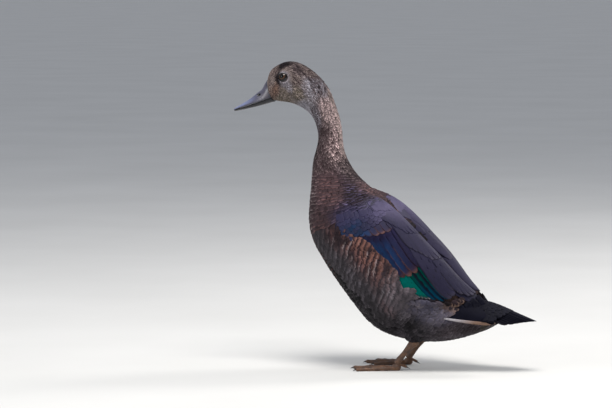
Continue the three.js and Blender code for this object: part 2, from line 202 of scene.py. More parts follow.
station_curve = Curve(STATIONS.values())
wing_curve = Curve(WING)
tail_curve = Curve(TAIL)
bill_curve = Curve(BILL)
LAST = len(STATIONS) - 1


def body_point(at, angle):
    """A superellipse across the body at each station, leaning as the body bends: up and out are
    powers of the angle's cosine and sine."""
    x, z, lean, depth, width, heavy, square = np.moveaxis(station_curve(at), -1, 0)
    up = depth / 2 * power(np.cos(angle), 2 / square)
    out = width / 2 * power(np.sin(angle), 2 / square) * (1 + heavy * np.cos(angle))
    lean = np.radians(lean)
    return np.stack([x + up * np.sin(lean), -out, z + up * np.cos(lean)], -1)


class Surface:
    """A surface kept as a fine grid of its points and normals, and read in proportion between them.
    Past the grid's ends it goes straight on."""

    def __init__(self, shape, ends, sides, rows, columns, outward=1):
        self.start = np.array([ends[0], sides[0]], float)
        self.step = np.array([(ends[1] - ends[0]) / (rows - 1), (sides[1] - sides[0]) / (columns - 1)])
        self.top = np.array([rows - 2, columns - 2])
        at, across = np.meshgrid(np.linspace(*ends, rows), np.linspace(*sides, columns), indexing="ij")
        points = shape(at, across)
        normals = unit(np.cross(np.gradient(points, axis=1), np.gradient(points, axis=0))) * outward
        self.grid = np.concatenate([points, normals], -1)

    def __call__(self, at, across, out):
        """The point at that place, moved out along the normal."""
        row = (at - self.start[0]) / self.step[0]
        column = (across - self.start[1]) / self.step[1]
        i = np.clip(np.floor(row).astype(int), 0, self.top[0])
        j = np.clip(np.floor(column).astype(int), 0, self.top[1])
        u, v = (row - i)[..., None], (column - j)[..., None]
        grid = self.grid
        near = grid[i, j] * (1 - v) + grid[i, j + 1] * v
        far = grid[i + 1, j] * (1 - v) + grid[i + 1, j + 1] * v
        mixed = near * (1 - u) + far * u
        return mixed[..., :3] + unit(mixed[..., 3:]) * np.asarray(out)[..., None]


LAP = 0.05  # a surface's grid goes this much past the middle of the belly
ROUND = (-math.pi - LAP, math.pi + LAP)
HEAD_END = 8  # the station behind which nothing is near an eye
LEAST_WING = 4.0  # degrees from the wing's upper to its lower edge, at the least
FALL_POWER = 0.9
EYE_REACH, EYE_MOUND, MOUND_TOP = 12.0, 1.3, 5.5  # the mound's reach, its height, how far it is flat
THIGH, THIGH_TOP, THIGH_REACH = 7.0, 2, 17
body = Surface(body_point, (0, LAST), ROUND, 601, 361)
WING_STEPS = np.linspace(0, len(WING) - 1, 400)
WING_STATIONS = wing_curve(WING_STEPS)[:, 0]


def wing_place(at, angle):
    """Share of the way from the folded wing's upper edge (0) to its lower edge (1), and the crest's
    thickness, at a place on the body."""
    values = wing_curve(np.interp(at, WING_STATIONS, WING_STEPS))
    down = (turned(angle) - values[..., 1]) / np.maximum(values[..., 2] - values[..., 1], LEAST_WING)
    inside = (at > WING[0][0]) & (at < WING[-1][0])
    return down, np.where(inside, values[..., 3], 0.0)


def wing_fall(down):
    """Share of the crest's thickness below the crest: a slow fall to the lower edge."""
    return 1 - (1 - WING_EDGE) * np.clip((down - WING_CREST) / (1 - WING_CREST), 0, 1) ** FALL_POWER


def wing_rise(down):
    """A quarter round up to the crest."""
    return np.sqrt(np.clip(1 - (1 - np.clip(down / WING_CREST, 0, 1)) ** 2, 0, 1))


def eye_distance(points):
    """Distance from the eyes' common line, which runs across the head."""
    return np.hypot(points[..., 0] - EYE[0], points[..., 2] - EYE[2])


def relief(at, angle):
    """Height over the plain body: a quarter round up to each wing's crest and a slow fall below it,
    a low mound round the eyes, and the thighs' bulge over the hocks."""
    down, thick = wing_place(at, angle)
    wing = thick * wing_rise(down) * wing_fall(down) * soft_fall(0.98, 1.12, down)
    points = body_point(at, angle)
    eye = EYE_MOUND * soft_fall(MOUND_TOP, EYE_REACH, eye_distance(points)) * (at < HEAD_END)
    from_hock = points * (1, 0, 1) + np.abs(points) * (0, 1, 0) - HOCK[:3]
    return wing + eye + THIGH * soft_fall(THIGH_TOP, THIGH_REACH, np.linalg.norm(from_hock, axis=-1))


def stiff_relief(at, angle):
    """The same for stiff long feathers, which pass straight over the wing's lower edge and tip."""
    down, thick = wing_place(np.minimum(at, WING[-1][0] - 0.01), angle)
    return thick * wing_rise(down) * wing_fall(down)


form = Surface(lambda at, angle: body(at, angle, relief(at, angle)), (0, LAST), ROUND, 1001, 541)
stiff_form = Surface(lambda at, angle: body(at, angle, stiff_relief(at, angle)), (0, LAST), ROUND, 601, 541)


def tail_point(x, across):
    """Roof of the tail: the ridge less a power of the share across, over the fan's half width."""
    rows = tail_curve(np.interp(x, TAIL_X, TAIL_STEPS))
    y = -across * rows[..., 2]
    return np.stack([x, y, rows[..., 1] - rows[..., 3] * np.abs(across) ** TAIL_PITCH], -1)


TAIL_STEPS = np.linspace(0, len(TAIL) - 1, 300)
TAIL_X = tail_curve(TAIL_STEPS)[:, 0]
tail_form = Surface(tail_point, (TAIL[0][0], TAIL[-1][0]), (-1, 1), 200, 101)


COAT_DEPTH = ((0, 3, 8, 12, 16, 20, 25), (0.8, 1.0, 1.5, 1.9, 3.0, 3.4, 2.6))


def coat_depth(at):
    """How far the skin lies under the feathers' outer surface: thin on the face, thick behind."""
    return np.interp(at, *COAT_DEPTH)


# ---- Colours ----


def linear(colour):
    """sRGB shares of 255 to linear light: the low end is a straight line, the rest a power."""
    share = np.asarray(colour, float) / 255
    return np.where(share < 0.04045, share / 12.92, ((share + 0.055) / 1.055) ** 2.4)


def tone(name, description, colour):
    return FloatVectorProperty(
        name=name, description=description, subtype="COLOR", size=3, min=0, max=1,
        default=tuple(float(v) for v in linear(colour)))


class DuckColours(PropertyGroup):
    """The plumage's and bare parts' colours."""

    soot: tone("Soot", "Belly, vent and tail", (19, 17, 21))
    umber: tone("Umber", "Dark centres of the breast and crown", (38, 28, 32))
    bark: tone("Bark", "Dark streaks of the neck and nape", (70, 54, 57))
    dun: tone("Dun", "Grey brown of the face", (104, 91, 91))
    ash: tone("Ash", "Grey of the throat", (150, 146, 154))
    olive: tone("Olive", "Lower cheek", (102, 94, 80))
    tan: tone("Tan", "Spot behind the bill", (140, 113, 98))
    fawn: tone("Fawn", "Pale streaks of the face", (146, 132, 126))
    mouse: tone("Mouse", "Dull fringes of the belly", (94, 88, 94))
    rose: tone("Rose", "Fringes of the crop and breast", (120, 88, 87))
    blush: tone("Blush", "Pale flecks of the neck", (220, 192, 190))
    buff: tone("Buff", "Pale bars of the flank", (172, 156, 156))
    rust: tone("Rust", "Fringes of the flank and wing coverts", (130, 90, 80))
    plum: tone("Plum", "Smooth grey purple of the wing", (40, 37, 62))
    # Lilac: partly the wing's own paler purple, partly a painted highlight and sheen along the wing's crest
    # and upper side.
    lilac_sheen: tone("Lilac", "Light along the wing's crest", (98, 90, 122))
    ink: tone("Ink", "Grooves and hidden vanes of the wing", (20, 20, 34))
    navy: tone("Navy", "Blue gloss of the coverts", (18, 64, 112))
    teal: tone("Teal", "Green blue gloss of the coverts", (4, 60, 84))
    emerald: tone("Emerald", "Speculum", (2, 98, 90))
    white: tone("White", "Trailing edge of the speculum", (205, 200, 206))
    slate: tone("Slate", "Bill", (70, 68, 84))
    # Steel: a bluer grey used as a painted highlight over the bill's upper side towards the tip.
    steel_highlight: tone("Steel", "Light of the bill's sides", (106, 114, 148))
    horn: tone("Horn", "Lower mandible and nail", (36, 37, 48))
    leg: tone("Leg", "Feet and tarsi", (122, 84, 56))
    leg_dark: tone("Dark Leg", "Webs and joints", (70, 50, 40))
    claw: tone("Claw", "Claws", (40, 34, 32))
    iris: tone("Iris", "Iris", (74, 50, 32))


def part_of(name, description, low=0.6, high=2.0):
    return FloatProperty(
        name=name, description=description, default=1.0, min=low, max=high, subtype="FACTOR")


def light(name, description, default):
    return FloatProperty(name=name, description=description, default=default, min=0)


class DuckCoat(PropertyGroup):
    """How the coat of feathers is laid."""

    seed: IntProperty(name="Seed", description="Chance in the lie of the feathers", default=7, min=0)
    fineness: part_of("Fineness", "Share of the usual step from one body feather to the next")
    overlap: part_of("Overlap", "Share of the usual length of a body feather")
    breadth: part_of("Breadth", "Share of the usual width of a body feather")
    ruffle: part_of("Ruffle", "How unevenly the tips stand", 0.0, 3.0)


class DuckStage(PropertyGroup):
    """Camera and light."""

    azimuth: FloatProperty(
        name="Azimuth", description="Camera's turn from the duck's left side towards its head",
        default=math.radians(16), subtype="ANGLE")
    elevation: FloatProperty(
        name="Elevation", description="Camera's height angle", default=math.radians(4.5), subtype="ANGLE")
    distance: FloatProperty(
        name="Distance", description="Camera to the duck", default=4.0, min=1.0, unit="LENGTH")
    scale: FloatProperty(
        name="Scale", description="Real length that one step of the frame's width shows",
        default=0.00128, min=0.0002, unit="LENGTH", precision=5)
    key: light("Key Light", "Power of the large top light", 60.0)
    fill: light("Fill Light", "Power of the light beside the camera", 14.0)
    rim: light("Rim Light", "Power of the light behind", 32.0)
    sky: light("Sky", "Strength of the even light", 0.5)


# Ground and fringe colours of the coat by tract: station, degrees from the back, ground, fringe.
TRACTS = {
    "forehead": (0.8, 20, "bark", "fawn"),
    "crown": (3.0, 32, "soot", "umber"),
    "crown_side": (4.7, 50, "umber", "dun"),
    "hind_crown": (5.6, 28, "bark", "fawn"),
    "fore_brow": (1.7, 52, "bark", "fawn"),
    "brow": (3.6, 61, "dun", "fawn"),
    "eye_front": (2.4, 75, "soot", "umber"),
    "lores": (1.2, 80, "dun", "fawn"),
    "cheek": (3.7, 98, "dun", "ash"),
    "gape": (1.45, 103, "bark", "tan"),
    "jaw": (3.2, 122, "olive", "fawn"),
    "lower_cheek": (5.0, 110, "olive", "fawn"),
    "chin": (2.2, 150, "olive", "fawn"),
    "eye_back": (4.7, 72, "bark", "fawn"),
    "ear": (6.0, 78, "dun", "ash"),
    "ear_top": (6.2, 55, "bark", "ash"),
    "throat": (6.0, 142, "ash", "ash"),
    "hind_head": (7.2, 34, "bark", "ash"),
    # Painted light: the pale fawn ground of the nape stands in for rim light along the neck's back edge.
    "nape": (8.4, 0, "fawn", "blush"),
    "nape_side": (8.8, 60, "dun", "blush"),
    "neck_front": (8.2, 130, "bark", "ash"),
    # Painted rim light: the hind neck's pale fawn ground, as on the nape.
    "hind_neck": (11, 5, "fawn", "blush"),
    "neck_back_side": (11.2, 52, "bark", "blush"),
    "neck_side": (10.4, 105, "bark", "dun"),
    "foreneck": (12, 150, "umber", "dun"),
    "low_neck_side": (12.4, 112, "bark", "dun"),
    "low_hind_neck": (13.3, 22, "umber", "dun"),
    "neck_root": (14.6, 90, "bark", "rose"),
    "neck_root_back": (15.2, 15, "bark", "rose"),
    "crop": (15.4, 160, "bark", "buff"),
    "upper_breast": (16.3, 128, "bark", "rose"),
    # The shoulders' pale purple fringes are partly a painted highlight on the upper side of the wing.
    "shoulder_front": (15.2, 55, "umber", "lilac_sheen"),
    "shoulder": (16.25, 42, "slate", "lilac_sheen"),
    "shoulder_side": (16.2, 72, "plum", "lilac_sheen"),
    "breast": (17.4, 165, "soot", "rose"),
    "fore_belly": (18.8, 140, "soot", "mouse"),
    "belly_side": (20.5, 112, "soot", "mouse"),
    "belly": (21.0, 165, "soot", "mouse"),
    "under_wing": (20.9, 78, "slate", "mouse"),
    "vent": (23.0, 150, "umber", "mouse"),
    "vent_side": (22.4, 104, "umber", "mouse"),
    "mantle": (16.4, 0, "umber", "rose"),
    "back": (19, 0, "soot", "umber"),
    "back_side": (19.4, 30, "soot", "umber"),
    "lower_back": (20.6, 12, "soot", "umber"),
    "rump": (21.0, 48, "umber", "tan"),
    "upper_coverts": (23.4, 15, "soot", "bark"),
}


def palette(colours):
    """Every colour of the group by name, as an array."""
    return {name: np.array(getattr(colours, name)) for name in DuckColours.__annotations__}


TRACT_PLACES = np.array([tract[:2] for tract in TRACTS.values()], float)
TRACT_DEGREES = 30  # degrees round the body that count as far as one station along it
TRACT_BLUR, TRACT_POWER = 0.1, 2.5


def plumage(at, angle, tones):
    """Ground and fringe at a place: the tracts' colours, each weighed by its nearness."""
    grounds, fringes = (np.array([tones[tract[k]] for tract in TRACTS.values()]) for k in (2, 3))
    along = at[..., None] - TRACT_PLACES[:, 0]
    around = (turned(angle)[..., None] - TRACT_PLACES[:, 1]) / TRACT_DEGREES
    pull = 1 / (along ** 2 + around ** 2 + TRACT_BLUR) ** TRACT_POWER
    pull /= pull.sum(-1, keepdims=True)
    return pull @ grounds, pull @ fringes


# ---- Meshes ----


def new_mesh(name, points, faces, material, uvs=None, colours=None, flat=None):
    """One object from arrays: points in millimetres and triangles. uvs gives a pair a corner for each
    map's name, colours one colour a point for each attribute's name, flat the faces not shaded smooth."""
    mesh = bpy.data.meshes.new(name)
    faces = np.asarray(faces, np.int32)
    mesh.vertices.add(len(points))
    mesh.loops.add(faces.size)
    mesh.polygons.add(len(faces))
    mesh.vertices.foreach_set("co", (np.asarray(points) * MM).astype(np.float32).ravel())
    mesh.loops.foreach_set("vertex_index", faces.ravel())
    mesh.polygons.foreach_set("loop_start", np.arange(0, faces.size, 3, dtype=np.int32))
    mesh.update(calc_edges=True)
    mesh.polygons.foreach_set("use_smooth", np.ones(len(faces), bool) if flat is None else ~flat)
    for key, pairs in (uvs or {}).items():
        mesh.uv_layers.new(name=key).uv.foreach_set("vector", np.asarray(pairs, np.float32).ravel())
    for key, values in (colours or {}).items():
        attribute = mesh.color_attributes.new(key, "FLOAT_COLOR", "POINT")
        full = np.concatenate([values, np.ones((len(values), 1))], 1)
        attribute.data.foreach_set("color", full.astype(np.float32).ravel())
    mesh.materials.append(material)
    item = bpy.data.objects.new(name, mesh)
    bpy.context.collection.objects.link(item)
    return item


def finish_piece(item, slot, *replaced):
    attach(item, BODY)
    if replaced:
        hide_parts(*replaced)
    return item


def outward_faces(points, faces):
    """The faces, all turned over if the shell that they make has a negative volume."""
    a, b, c = (points[faces[:, k]] for k in range(3))
    return faces[:, ::-1] if np.einsum("ij,ij->", a, np.cross(b, c)) < 0 else faces


def closed_tube(rings):
    """A grid of rings as one closed shell, its two ends closed by a point in the middle."""
    rows, columns = rings.shape[:2]
    index = np.arange(rows * columns).reshape(rows, columns)
    after = np.roll(index, -1, 1)
    a, b, c, d = index[:-1].ravel(), after[:-1].ravel(), after[1:].ravel(), index[1:].ravel()
    first = np.stack([after[0], index[0], np.full(columns, rows * columns)], 1)
    last = np.stack([index[-1], after[-1], np.full(columns, rows * columns + 1)], 1)
    faces = np.concatenate([np.stack([a, b, c], 1), np.stack([a, c, d], 1), first, last])
    points = np.concatenate([rings.reshape(-1, 3), rings[:1].mean(1), rings[-1:].mean(1)])
    return points, outward_faces(points - points.mean(0), faces)


def join(shells):
    """Several shells as one list of points and one of faces."""
    starts = np.cumsum([0] + [len(points) for points, faces in shells[:-1]])
    faces = [faces + start for (points, faces), start in zip(shells, starts)]
    return np.concatenate([points for points, faces in shells]), np.concatenate(faces)


def bar(middles, radii, sides=16):
    """A round bar along a path, a circle of its own radius round each of the path's points."""
    ahead = unit(np.gradient(middles, axis=0))
    across = unit(np.cross((0, 1, 0), ahead))
    other = np.cross(ahead, across)
    angle = full_turn(sides)[None, :, None]
    spoke = across[:, None] * np.cos(angle) + other[:, None] * np.sin(angle)
    return closed_tube(middles[:, None] + spoke * np.asarray(radii)[:, None, None])


BALL_ROWS, BALL_COLUMNS, BALL_CAP = 24, 32, 0.02


def ball(centre, halves, turn=0.0):
    """An ellipsoid turned about Y."""
    rise = np.linspace(BALL_CAP, np.pi - BALL_CAP, BALL_ROWS)[:, None]
    angle = full_turn(BALL_COLUMNS)[None, :]
    x = (np.cos(rise) + 0 * angle) * halves[0]
    y = np.sin(rise) * np.cos(angle) * halves[1]
    z = np.sin(rise) * np.sin(angle) * halves[2]
    cosine, sine = math.cos(turn), math.sin(turn)
    return closed_tube(np.stack([x * cosine + z * sine, y, z * cosine - x * sine], -1) + centre)


def rows_of(colour, count):
    """The same colour, once a feather or a point."""
    return np.tile(colour, (count, 1))


def blend(first, second, share):
    return first + (second - first) * np.asarray(share)[..., None]


def capped(shade):
    """The shades of a closed tube's rings, with those of its two end points."""
    return np.concatenate([shade, shade[:1], shade[-1:]])


def fused(item, cell, smooth):
    """The shells of an object made one by a voxel remesh, smoothed, and kept above the floor."""
    remesh = item.modifiers.new("fuse", "REMESH")
    remesh.mode = "VOXEL"
    remesh.voxel_size = cell * MM
    remesh.use_smooth_shade = True
    soften = item.modifiers.new("soften", "SMOOTH")
    soften.factor, soften.iterations = 0.5, smooth
    mesh = bpy.data.meshes.new_from_object(item.evaluated_get(bpy.context.evaluated_depsgraph_get()))
    item.modifiers.clear()
    old, item.data = item.data, mesh
    bpy.data.meshes.remove(old)
    points = np.empty(len(mesh.vertices) * 3, np.float32)
    mesh.vertices.foreach_get("co", points)
    points = points.reshape(-1, 3)
    points[:, 2] = np.maximum(points[:, 2], 0)
    mesh.vertices.foreach_set("co", points.ravel())
    mesh.update()
    return item


# ---- Materials ----


BARB_SLANT = -0.4  # how far a barb's root lies behind its end, over half the vane's width
# Feathers: roughness, barbs to a vane, their contrast, specular level, share of metal in the gloss.
FEATHER_LOOKS = {
    "face_feathers": (0.8, 2.5, 0.25, 0.12, 0.0),
    "body_feathers": (0.75, 4.0, 0.35, 0.12, 0.0),
    "covert_vanes": (0.75, 5.0, 0.3, 0.12, 0.0),
    "wing_vanes": (0.55, 14.0, 0.12, 0.16, 0.0),
    "glossy_vanes": (0.42, 14.0, 0.12, 0.05, 0.75),
    "tail_vanes": (0.65, 14.0, 0.15, 0.05, 0.0),
}
# Horn: its tone, the shares of it that are darkest and lightest, roughness, scale, relief, wet coat.
HORN_LOOKS = {
    # The lower mandible's low shares of its tone are partly its own dark horn, partly painted shade under
    # the bill.
    "bill_horn": ("horn", 0.25, 0.6, 0.45, 80.0, 0.15, 0.0),
    "nail_horn": ("horn", 0.2, 0.5, 0.32, 90.0, 0.1, 0.3),
    "claw_horn": ("claw", 0.6, 1.3, 0.4, 300.0, 0.2, 0.0),
}
# Soft skin: the colours' name, roughness, specular level, scale and detail of its grain, the grain's
# stops and the height of its relief.
SKIN_LOOKS = {
    "down_skin": ("Plumage", 0.95, 0.1, 420.0, 6.0, (0.25, 0.5), (0.75, 1.0), 0.0006),
    "lid_skin": ("Shade", 0.6, 0.5, 1400.0, 5.0, (0.3, 0.65), (0.7, 1.0), 0.0004),
}
SCUTE_SCALE = 650.0
# The eye by distance from its axis, as shares of its radius: pupil, then the iris as shares of its tone.
PUPIL_RINGS = ((0.0, 0.002), (0.4, 0.003))
IRIS_RINGS = ((0.46, 0.8), (0.56, 1.2), (0.68, 0.35))
EYE_OUTER_RING = (0.8, 0.004)


class Look:
    """A material and its nodes. What a socket is given is a number, a colour or another node's output."""

    def __init__(self, name, **sockets):
        self.material = bpy.data.materials.new(name)
        self.material.use_nodes = True
        self.tree = self.material.node_tree
        for key, value in sockets.items():
            self.set(key.replace("_", " ").title().replace("Ior", "IOR"), value)

    def give(self, socket, value):
        if isinstance(value, bpy.types.NodeSocket):
            self.tree.links.new(value, socket)
        else:
            socket.default_value = value

    def set(self, key, value):
        self.give(self.tree.nodes["Principled BSDF"].inputs[key], value)

    def add(self, kind, values=None, output=0, **settings):
        """One output of a new node with its settings and values."""
        node = self.tree.nodes.new("ShaderNode" + kind)
        for key, value in settings.items():
            setattr(node, key, value)
        for key, value in (values or {}).items():
            self.give(node.inputs[key], value)
        return node.outputs[output]

    def math(self, operation, *values):
        return self.add("Math", dict(enumerate(values)), operation=operation)

    def multiply(self, first, second):
        """Two colours multiplied."""
        return self.add("Mix", {0: 1.0, 6: first, 7: second}, 2, data_type="RGBA", blend_type="MULTIPLY")

    def ramp(self, source, *stops):
        """A colour ramp through stops of a place and a grey or a colour."""
        result = self.add("ValToRGB", {0: source})
        elements = result.node.color_ramp.elements
        while len(elements) < len(stops):
            elements.new(0.5)
        for element, (place, colour) in zip(elements, stops):
            element.position = place
            element.color = (*colour, 1) if np.ndim(colour) else (colour, colour, colour, 1)
        return result

    def place(self):
        """Where a point lies in the object's own frame."""
        return self.add("TexCoord", output="Object")

    def noise(self, scale, detail=4.0):
        return self.add("TexNoise", {"Vector": self.place(), "Scale": scale, "Detail": detail})

    def painted(self, name):
        """The mesh's own colours of that name."""
        return self.add("VertexColor", layer_name=name)

    def bump(self, height, strength, distance):
        self.set("Normal", self.add("Bump", {"Strength": strength, "Distance": distance, "Height": height}))


def feather_material(name):
    """Vanes in the Plumage colours, finely barred by barbs that slant along the Vane map."""
    roughness, barbs, contrast, specular, metallic = FEATHER_LOOKS[name]
    look = Look(name, roughness=roughness, metallic=metallic, specular_ior_level=specular)
    vane = look.add("UVMap", uv_map="Vane")
    across = look.add("SeparateXYZ", {0: vane})
    along = across.node.outputs[1]
    away = look.math("ABSOLUTE", look.math("SUBTRACT", across, 0.5))
    line = look.add("CombineXYZ", {0: look.math("MULTIPLY_ADD", away, BARB_SLANT, along)})
    wave = look.add("TexWave", {"Vector": line, "Scale": barbs, "Distortion": 1.5, "Detail": 1.0}, 1)
    bars = look.ramp(wave, (0.0, 1 - contrast), (1.0, 1 + contrast * 0.4))
    barred = look.multiply(look.painted("Plumage"), bars)
    look.set("Base Color", look.multiply(barred, look.ramp(look.noise(300.0), (0.3, 0.82), (0.7, 1.0))))
    look.bump(wave, 0.3, 0.0002)
    return look.material


def skin_material(name):
    """Soft skin in its own colours under a dark grain: the down under the coat, or the wrinkled lids."""
    colours, roughness, specular, scale, detail, low, high, height = SKIN_LOOKS[name]
    look = Look(name, roughness=roughness, specular_ior_level=specular)
    grain = look.noise(scale, detail)
    look.set("Base Color", look.multiply(look.painted(colours), look.ramp(grain, low, high)))
    look.bump(grain, 0.5, height)
    return look.material


def horn_material(name, tones):
    """Horn: two tones through a noise, which also varies the gloss, and a fine grain in the relief."""
    key, dark, light, roughness, scale, strength, coat = HORN_LOOKS[name]
    look = Look(name, coat_weight=coat, coat_roughness=0.25)
    spread = look.noise(scale, 5.0)
    look.set("Base Color", look.ramp(spread, (0.3, tones[key] * dark), (0.7, tones[key] * light)))
    look.set("Roughness", look.ramp(spread, (0.2, roughness + 0.08), (0.8, roughness - 0.06)))
    look.bump(look.noise(scale * 8, 3.0), strength, 0.0003)
    return look.material


def scute_material(dark, light):
    """Scaled skin of the feet: Voronoi cells with dark sunken seams over two tones."""
    look = Look("leg_scutes", roughness=0.5)
    values = {"Vector": look.place(), "Scale": SCUTE_SCALE}
    cells = look.add("TexVoronoi", values, "Distance", feature="DISTANCE_TO_EDGE")
    seams = look.ramp(cells, (0.0, 0.4), (0.12, 1.0))
    look.set("Base Color", look.multiply(look.ramp(look.noise(110.0), (0.3, dark), (0.7, light)), seams))
    look.bump(seams, 0.6, 0.0003)
    return look.material


def bill_material():
    """The bill's painted colours, which hold a painted highlight and painted shade, under a soft mottle, a
    fine grain and a waxy gloss.
    """
    look = Look("bill_slate", specular_ior_level=0.5, coat_weight=0.3, coat_roughness=0.2)
    mottle_ramp = look.ramp(look.noise(260.0, 5.0), (0.3, 0.78), (0.7, 1.0))
    look.set("Base Color", look.multiply(look.painted("Shade"), mottle_ramp))
    look.set("Roughness", look.ramp(look.noise(180.0), (0.3, 0.42), (0.7, 0.3)))
    look.bump(look.noise(900.0, 3.0), 0.14, 0.0003)
    return look.material


def eye_material(name, centre, axis, iris):
    """A black pupil and an iris with fine rays, by distance from the eye's own axis."""
    look = Look(name, roughness=0.06, specular_ior_level=0.2, coat_weight=0.12, coat_roughness=0.03)
    place = look.place()
    offset = look.add("VectorMath", {0: place, 1: tuple(centre * MM)}, operation="SUBTRACT")
    across = look.add("VectorMath", {0: offset, 1: tuple(axis)}, operation="CROSS_PRODUCT")
    length = look.add("VectorMath", {0: across}, "Value", operation="LENGTH")
    share = look.math("MULTIPLY", length, 1 / (EYE_RADIUS * MM))
    iris_rings = [(place, iris * shade) for place, shade in IRIS_RINGS]
    rings = look.ramp(share, *PUPIL_RINGS, *iris_rings, EYE_OUTER_RING)
    look.set("Base Color", look.multiply(rings, look.ramp(look.noise(1500.0, 3.0), (0.3, 0.6), (0.7, 1.0))))
    return look.material


# ---- Skin, lids and eyes ----


def eye_place():
    """Station and angle of the body's place nearest the left eye's outermost point."""
    at, angle = np.meshgrid(np.linspace(1, 6, 300), np.linspace(0.5, 1.8, 200), indexing="ij")
    points = body(at, angle, np.zeros(at.shape))
    best = np.argmin(np.linalg.norm(points - (EYE * (1, -1, 1) + (0, -EYE_RADIUS, 0)), axis=-1))
    return at.flat[best], angle.flat[best]


EYE_AT, EYE_ANGLE = eye_place()
EYE_OPENING, EYE_HEIGHT = 4.5, 3.8  # half the eye's opening, lengthwise and in height
EYE_OUT, EYE_AHEAD = (-0.14, -1.0, 0.12), np.array([-1.0, 0, -0.12])  # the left eye's axes
EYE_GAZE = (-0.22, -1.0, 0.3)
CORNEA, CORNEA_WIDTH = 0.05, 0.55  # the bulge as a share of the radius, and the bell's width
LID_WIDTH, LID_THICK, LID_BROW = 1.25, 0.5, 0.35
LID_FOLD, LID_FOLDS = 0.12, 3
SOCKET, SOCKET_FLAT, SOCKET_REACH = 5.5, 4.8, 6.4


def eye_axes(side):
    """Centre of an eye, and its outward, forward and upward directions."""
    out = unit(np.array(EYE_OUT) * (1, side, 1))
    forward = unit(EYE_AHEAD - out * np.dot(EYE_AHEAD, out))
    return EYE * (1, -side, 1), out, forward, np.cross(out, forward) * side


def gaze(side):
    """The way that an eye looks: outwards, and a little up and forward."""
    return unit(np.array(EYE_GAZE) * (1, side, 1))


def eye_ball(side):
    """A ball whose front bulges as a cornea: the radius grows by a bell of the angle off the axis."""
    centre, out, forward, up = eye_axes(side)
    off = np.linspace(0.01, np.pi - 0.01, 60)[:, None, None]
    turn = full_turn(64)[None, :, None]
    radius = EYE_RADIUS * (0.985 + CORNEA * bell(off, 0, CORNEA_WIDTH))
    spoke = forward * np.cos(turn) + up * np.sin(turn)
    return closed_tube(centre + radius * (out * np.cos(off) + spoke * np.sin(off)))


def eye_lids(side):
    """A soft ring round the eye's almond opening. Its section is an ellipse that lies along the ball,
    thicker above, and two low folds run round it."""
    centre, out, forward, up = eye_axes(side)
    angle = full_turn(120)[:, None]
    section = full_turn(20)[None, :]
    corner = np.abs(np.cos(angle)) ** 6 * 0.55
    half = np.hypot(EYE_OPENING * np.cos(angle), EYE_HEIGHT * np.sin(angle)) + corner
    brow = 1 + LID_BROW * np.clip(np.sin(angle), 0, 1)
    width, thick = LID_WIDTH * brow, LID_THICK * brow
    spread = width * np.cos(section)
    ball_rise = np.sqrt(np.clip((EYE_RADIUS * 1.02) ** 2 - (half + width) ** 2, 1.0, None))
    slope = (half + width) / EYE_RADIUS
    rho = half + width + spread * 0.9
    fold = LID_FOLD * np.cos(LID_FOLDS * section) * (np.cos(section) > -0.2)
    height = ball_rise + 0.25 - spread * slope * 0.75 + (thick + fold) * np.sin(section)
    spoke = forward * np.cos(angle)[..., None] + up * np.sin(angle)[..., None]
    rings = centre + spoke * rho[..., None] + out * height[..., None]
    rows, columns = rings.shape[:2]
    index = np.arange(rows * columns).reshape(rows, columns)
    next_ring, after = np.roll(index, -1, 0), np.roll(index, -1, 1)
    both = np.roll(next_ring, -1, 1)
    faces = np.concatenate([
        np.stack([index.ravel(), after.ravel(), both.ravel()], 1),
        np.stack([index.ravel(), both.ravel(), next_ring.ravel()], 1)])
    points = rings.reshape(-1, 3)
    rim = (np.cos(section) + 0 * angle).ravel()
    return points, outward_faces(points - centre, faces), rim


def skin_shell():
    """The body's outer form less the coat's depth, one seamless tube from the bill's root to the tail,
    pressed in behind each eye."""
    at = LAST * np.linspace(0, 1, 420) ** 1.12
    angle = np.linspace(-np.pi, np.pi, 192, endpoint=False)
    at, angle = np.meshgrid(at, angle, indexing="ij")
    from_eye = eye_distance(form(at, angle, np.zeros(at.shape)))
    socket = SOCKET * soft_fall(SOCKET_FLAT, SOCKET_REACH, from_eye) * (at < HEAD_END)
    depth = coat_depth(at) + socket
    depth = np.minimum(depth, 0.35 * station_curve(at)[..., 3])
    return closed_tube(form(at, angle, -depth)), at, angle


def make_skin(tones):
    (points, faces), at, angle = skin_shell()
    ground, fringe = plumage(at.ravel(), angle.ravel(), tones)
    shades = {"Plumage": capped(ground * 0.75 + fringe * 0.15)}
    skin = new_mesh("skin", points, faces, skin_material("down_skin"), colours=shades)
    finish_piece(skin, "feather_brown", "head", "neck", "trunk", "tail_coverts", "shank_left", "shank_right")
    lid = skin_material("lid_skin")
    for name, side in SIDES:
        points, faces, rim = eye_lids(side)
        black = rows_of(tones["soot"] * 0.5, len(rim))
        shades = {"Shade": blend(black, tones["ash"] * 0.8, soft_step(0.1, 0.8, rim))}
        finish_piece(new_mesh(f"lids_{name}", points, faces, lid, colours=shades), "feather_brown")


def make_eyes(tones):
    for name, side in SIDES:
        centre = eye_axes(side)[0]
        gloss = eye_material(f"eye_gloss_{name}", centre, gaze(side), tones["iris"])
        finish_piece(new_mesh(f"eye_ball_{name}", *eye_ball(side), gloss), "eye", f"eye_{name}")


# ---- Bill ----


BILL_STEPS = 220
BILL_DIP, DIP_PLACE = 1.8, (11, 5)  # how deep the culmen dips, and where: out, width
BILL_LIP, BILL_HOLLOW, BILL_VAULT, BILL_GROOVE = 0.05, 0.5, 0.22, 0.9
NOSTRIL_PIT, NOSTRIL_RIM = 2.6, 0.3
COMB, COMB_STEP = 0.16, 1.3
LOWER_SHARE, LOWER_FLOOR = 0.82, 0.25


def bill_point(out, across, up):
    """A point beside the bill's own line, which droops from its root."""
    cosine, sine = math.cos(BILL_DROOP), math.sin(BILL_DROOP)
    return BILL_ROOT + np.stack([-out * cosine - up * sine, -across, -out * sine + up * cosine], -1)


def bill_rows():
    """Fine rows along the bill: distance out, height of the culmen, half width and depth below."""
    return np.moveaxis(bill_curve(np.linspace(0, len(BILL) - 1, BILL_STEPS)[:, None]), -1, 0)


